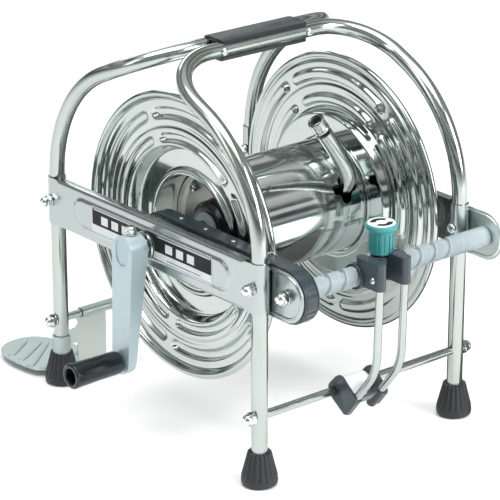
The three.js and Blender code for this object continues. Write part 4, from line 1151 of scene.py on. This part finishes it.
# ---- foot pedal ----
WEB_Y = LEG_Y + 4.7
TREAD_Z, TREAD_TOP = 7, 8.2
curl = closed_loop([(4.7, -105), (5.9, -105), (5.9, -62), (4.7, -62)])
piece("pedal_curl", lathe_x(curl, LEG_Y, ROD_Z, 48), "pedal_steel", "frame", "foot_pedal")
web = [(-105, 71), (-105, 64)] + arc(-110, 58.5, 5, math.radians(70), math.radians(-110), 8)
web += [(-113, 53), (-121.5, 53), (-121.5, 35.8), (-105.5, 35.8), (-105.5, 11), (-68, 11), (-68, 71)]
# The web takes the lighter steel, which is painted light.
piece("pedal_web", prism_y(web, WEB_Y, WEB_Y + SHEET), "lit_web_steel", "frame", bevel=0.3)
bend = [(0, 11.5), (0, 10.2), (0.9, 8.0), (3.2, 7.0), (5, 7.0), (5, 8.2), (3.4, 8.2), (1.7, 8.9), (1.2, 10.4),
        (1.2, 11.5)]
piece("pedal_bend", prism_x([(WEB_Y + y, z) for y, z in bend], -105.5, -68), "pedal_steel", "frame", sharp=50)
collar = closed_loop([(8.25, 33.6), (9.6, 33.6), (9.6, 53), (8.25, 53)])
piece("pedal_collar", lathe_z(collar, -LEG_X, LEG_Y, 56), "pedal_steel", "frame")
TREAD_EDGE = [(-68, 185), (-71, 212), (-77.5, 238), (-85, 255), (-96, 267), (-111, 271), (-128, 268.5),
              (-142, 258.5), (-149, 242), (-150.5, 224), (-149.5, 205), (-145.5, 188)]
tread = [(-68, WEB_Y + 4.6)] + [(p.x, p.y) for p in curve([(x, y, 0) for x, y in TREAD_EDGE], 5)]
tread += arc(-LEG_X, LEG_Y, 20.2, math.radians(110), math.radians(34), 10) + [(-108, WEB_Y + 4.6)]
piece("pedal_tread", prism_z(tread, TREAD_Z, TREAD_TOP), "pedal_steel", "frame", bevel=0.35, steps=3)
TREAD_RIBS = (((-144.6, 240.6), (-139.6, 236.5), (-107, 258.4)),
              ((-144, 222.5), (-139.3, 218.4), (-96, 245.8)), ((-144.6, 205.3), (-139, 200.6), (-91, 240)),
              ((-138.7, 190), (-134, 186), (-84, 221)), ((-116, 183.5), (-111, 180), (-77, 203.5)))
TREAD_RIB_R = 1.5
for i, points in enumerate(TREAD_RIBS):
    line = curve([(x, y, TREAD_TOP) for x, y in points], 10)
    last = len(line) - 1
    from_end = [min(k, last - k, 4) / 4 for k in range(last + 1)]
    radii = [TREAD_RIB_R * math.sqrt(max(0.02, 1 - (1 - t) ** 2)) for t in from_end]
    verts, faces = sweep(line, TREAD_RIB_R, 14, radii=radii)
    flattened = [(x, y, TREAD_TOP + (z - TREAD_TOP) * 0.5) for x, y, z in verts]
    piece(f"pedal_rib_{i}", (flattened, faces), "pedal_steel", "frame")

# ---- water inlet ----
ELBOW_X = BUSH_X + 3.4
elbow = fillet([(8.3, ELBOW_X), (12.2, ELBOW_X), (13.5, ELBOW_X + 1.5), (13.5, ELBOW_X + 26),
                (10.8, ELBOW_X + 29), (0, ELBOW_X + 29), (0, 158.5), (8.3, 158.5)], 1.4, 4)
piece("elbow_body", lathe_x(closed_loop(elbow), 0, AXLE_Z, 64), "slate", "inlet", "inlet_elbow")
spout = ring([(5, 156), (6.4, 156), (7.4, 157), (8.6, 160), (7.6, 164), (8.8, 169), (7.8, 174), (10.5, 178),
              (10.5, 193.4), (5, 193.4)], 0.8, 3)
piece("elbow_spout", lathe_z(spout, ELBOW_X + 20, 0, 56), "slate", "inlet")
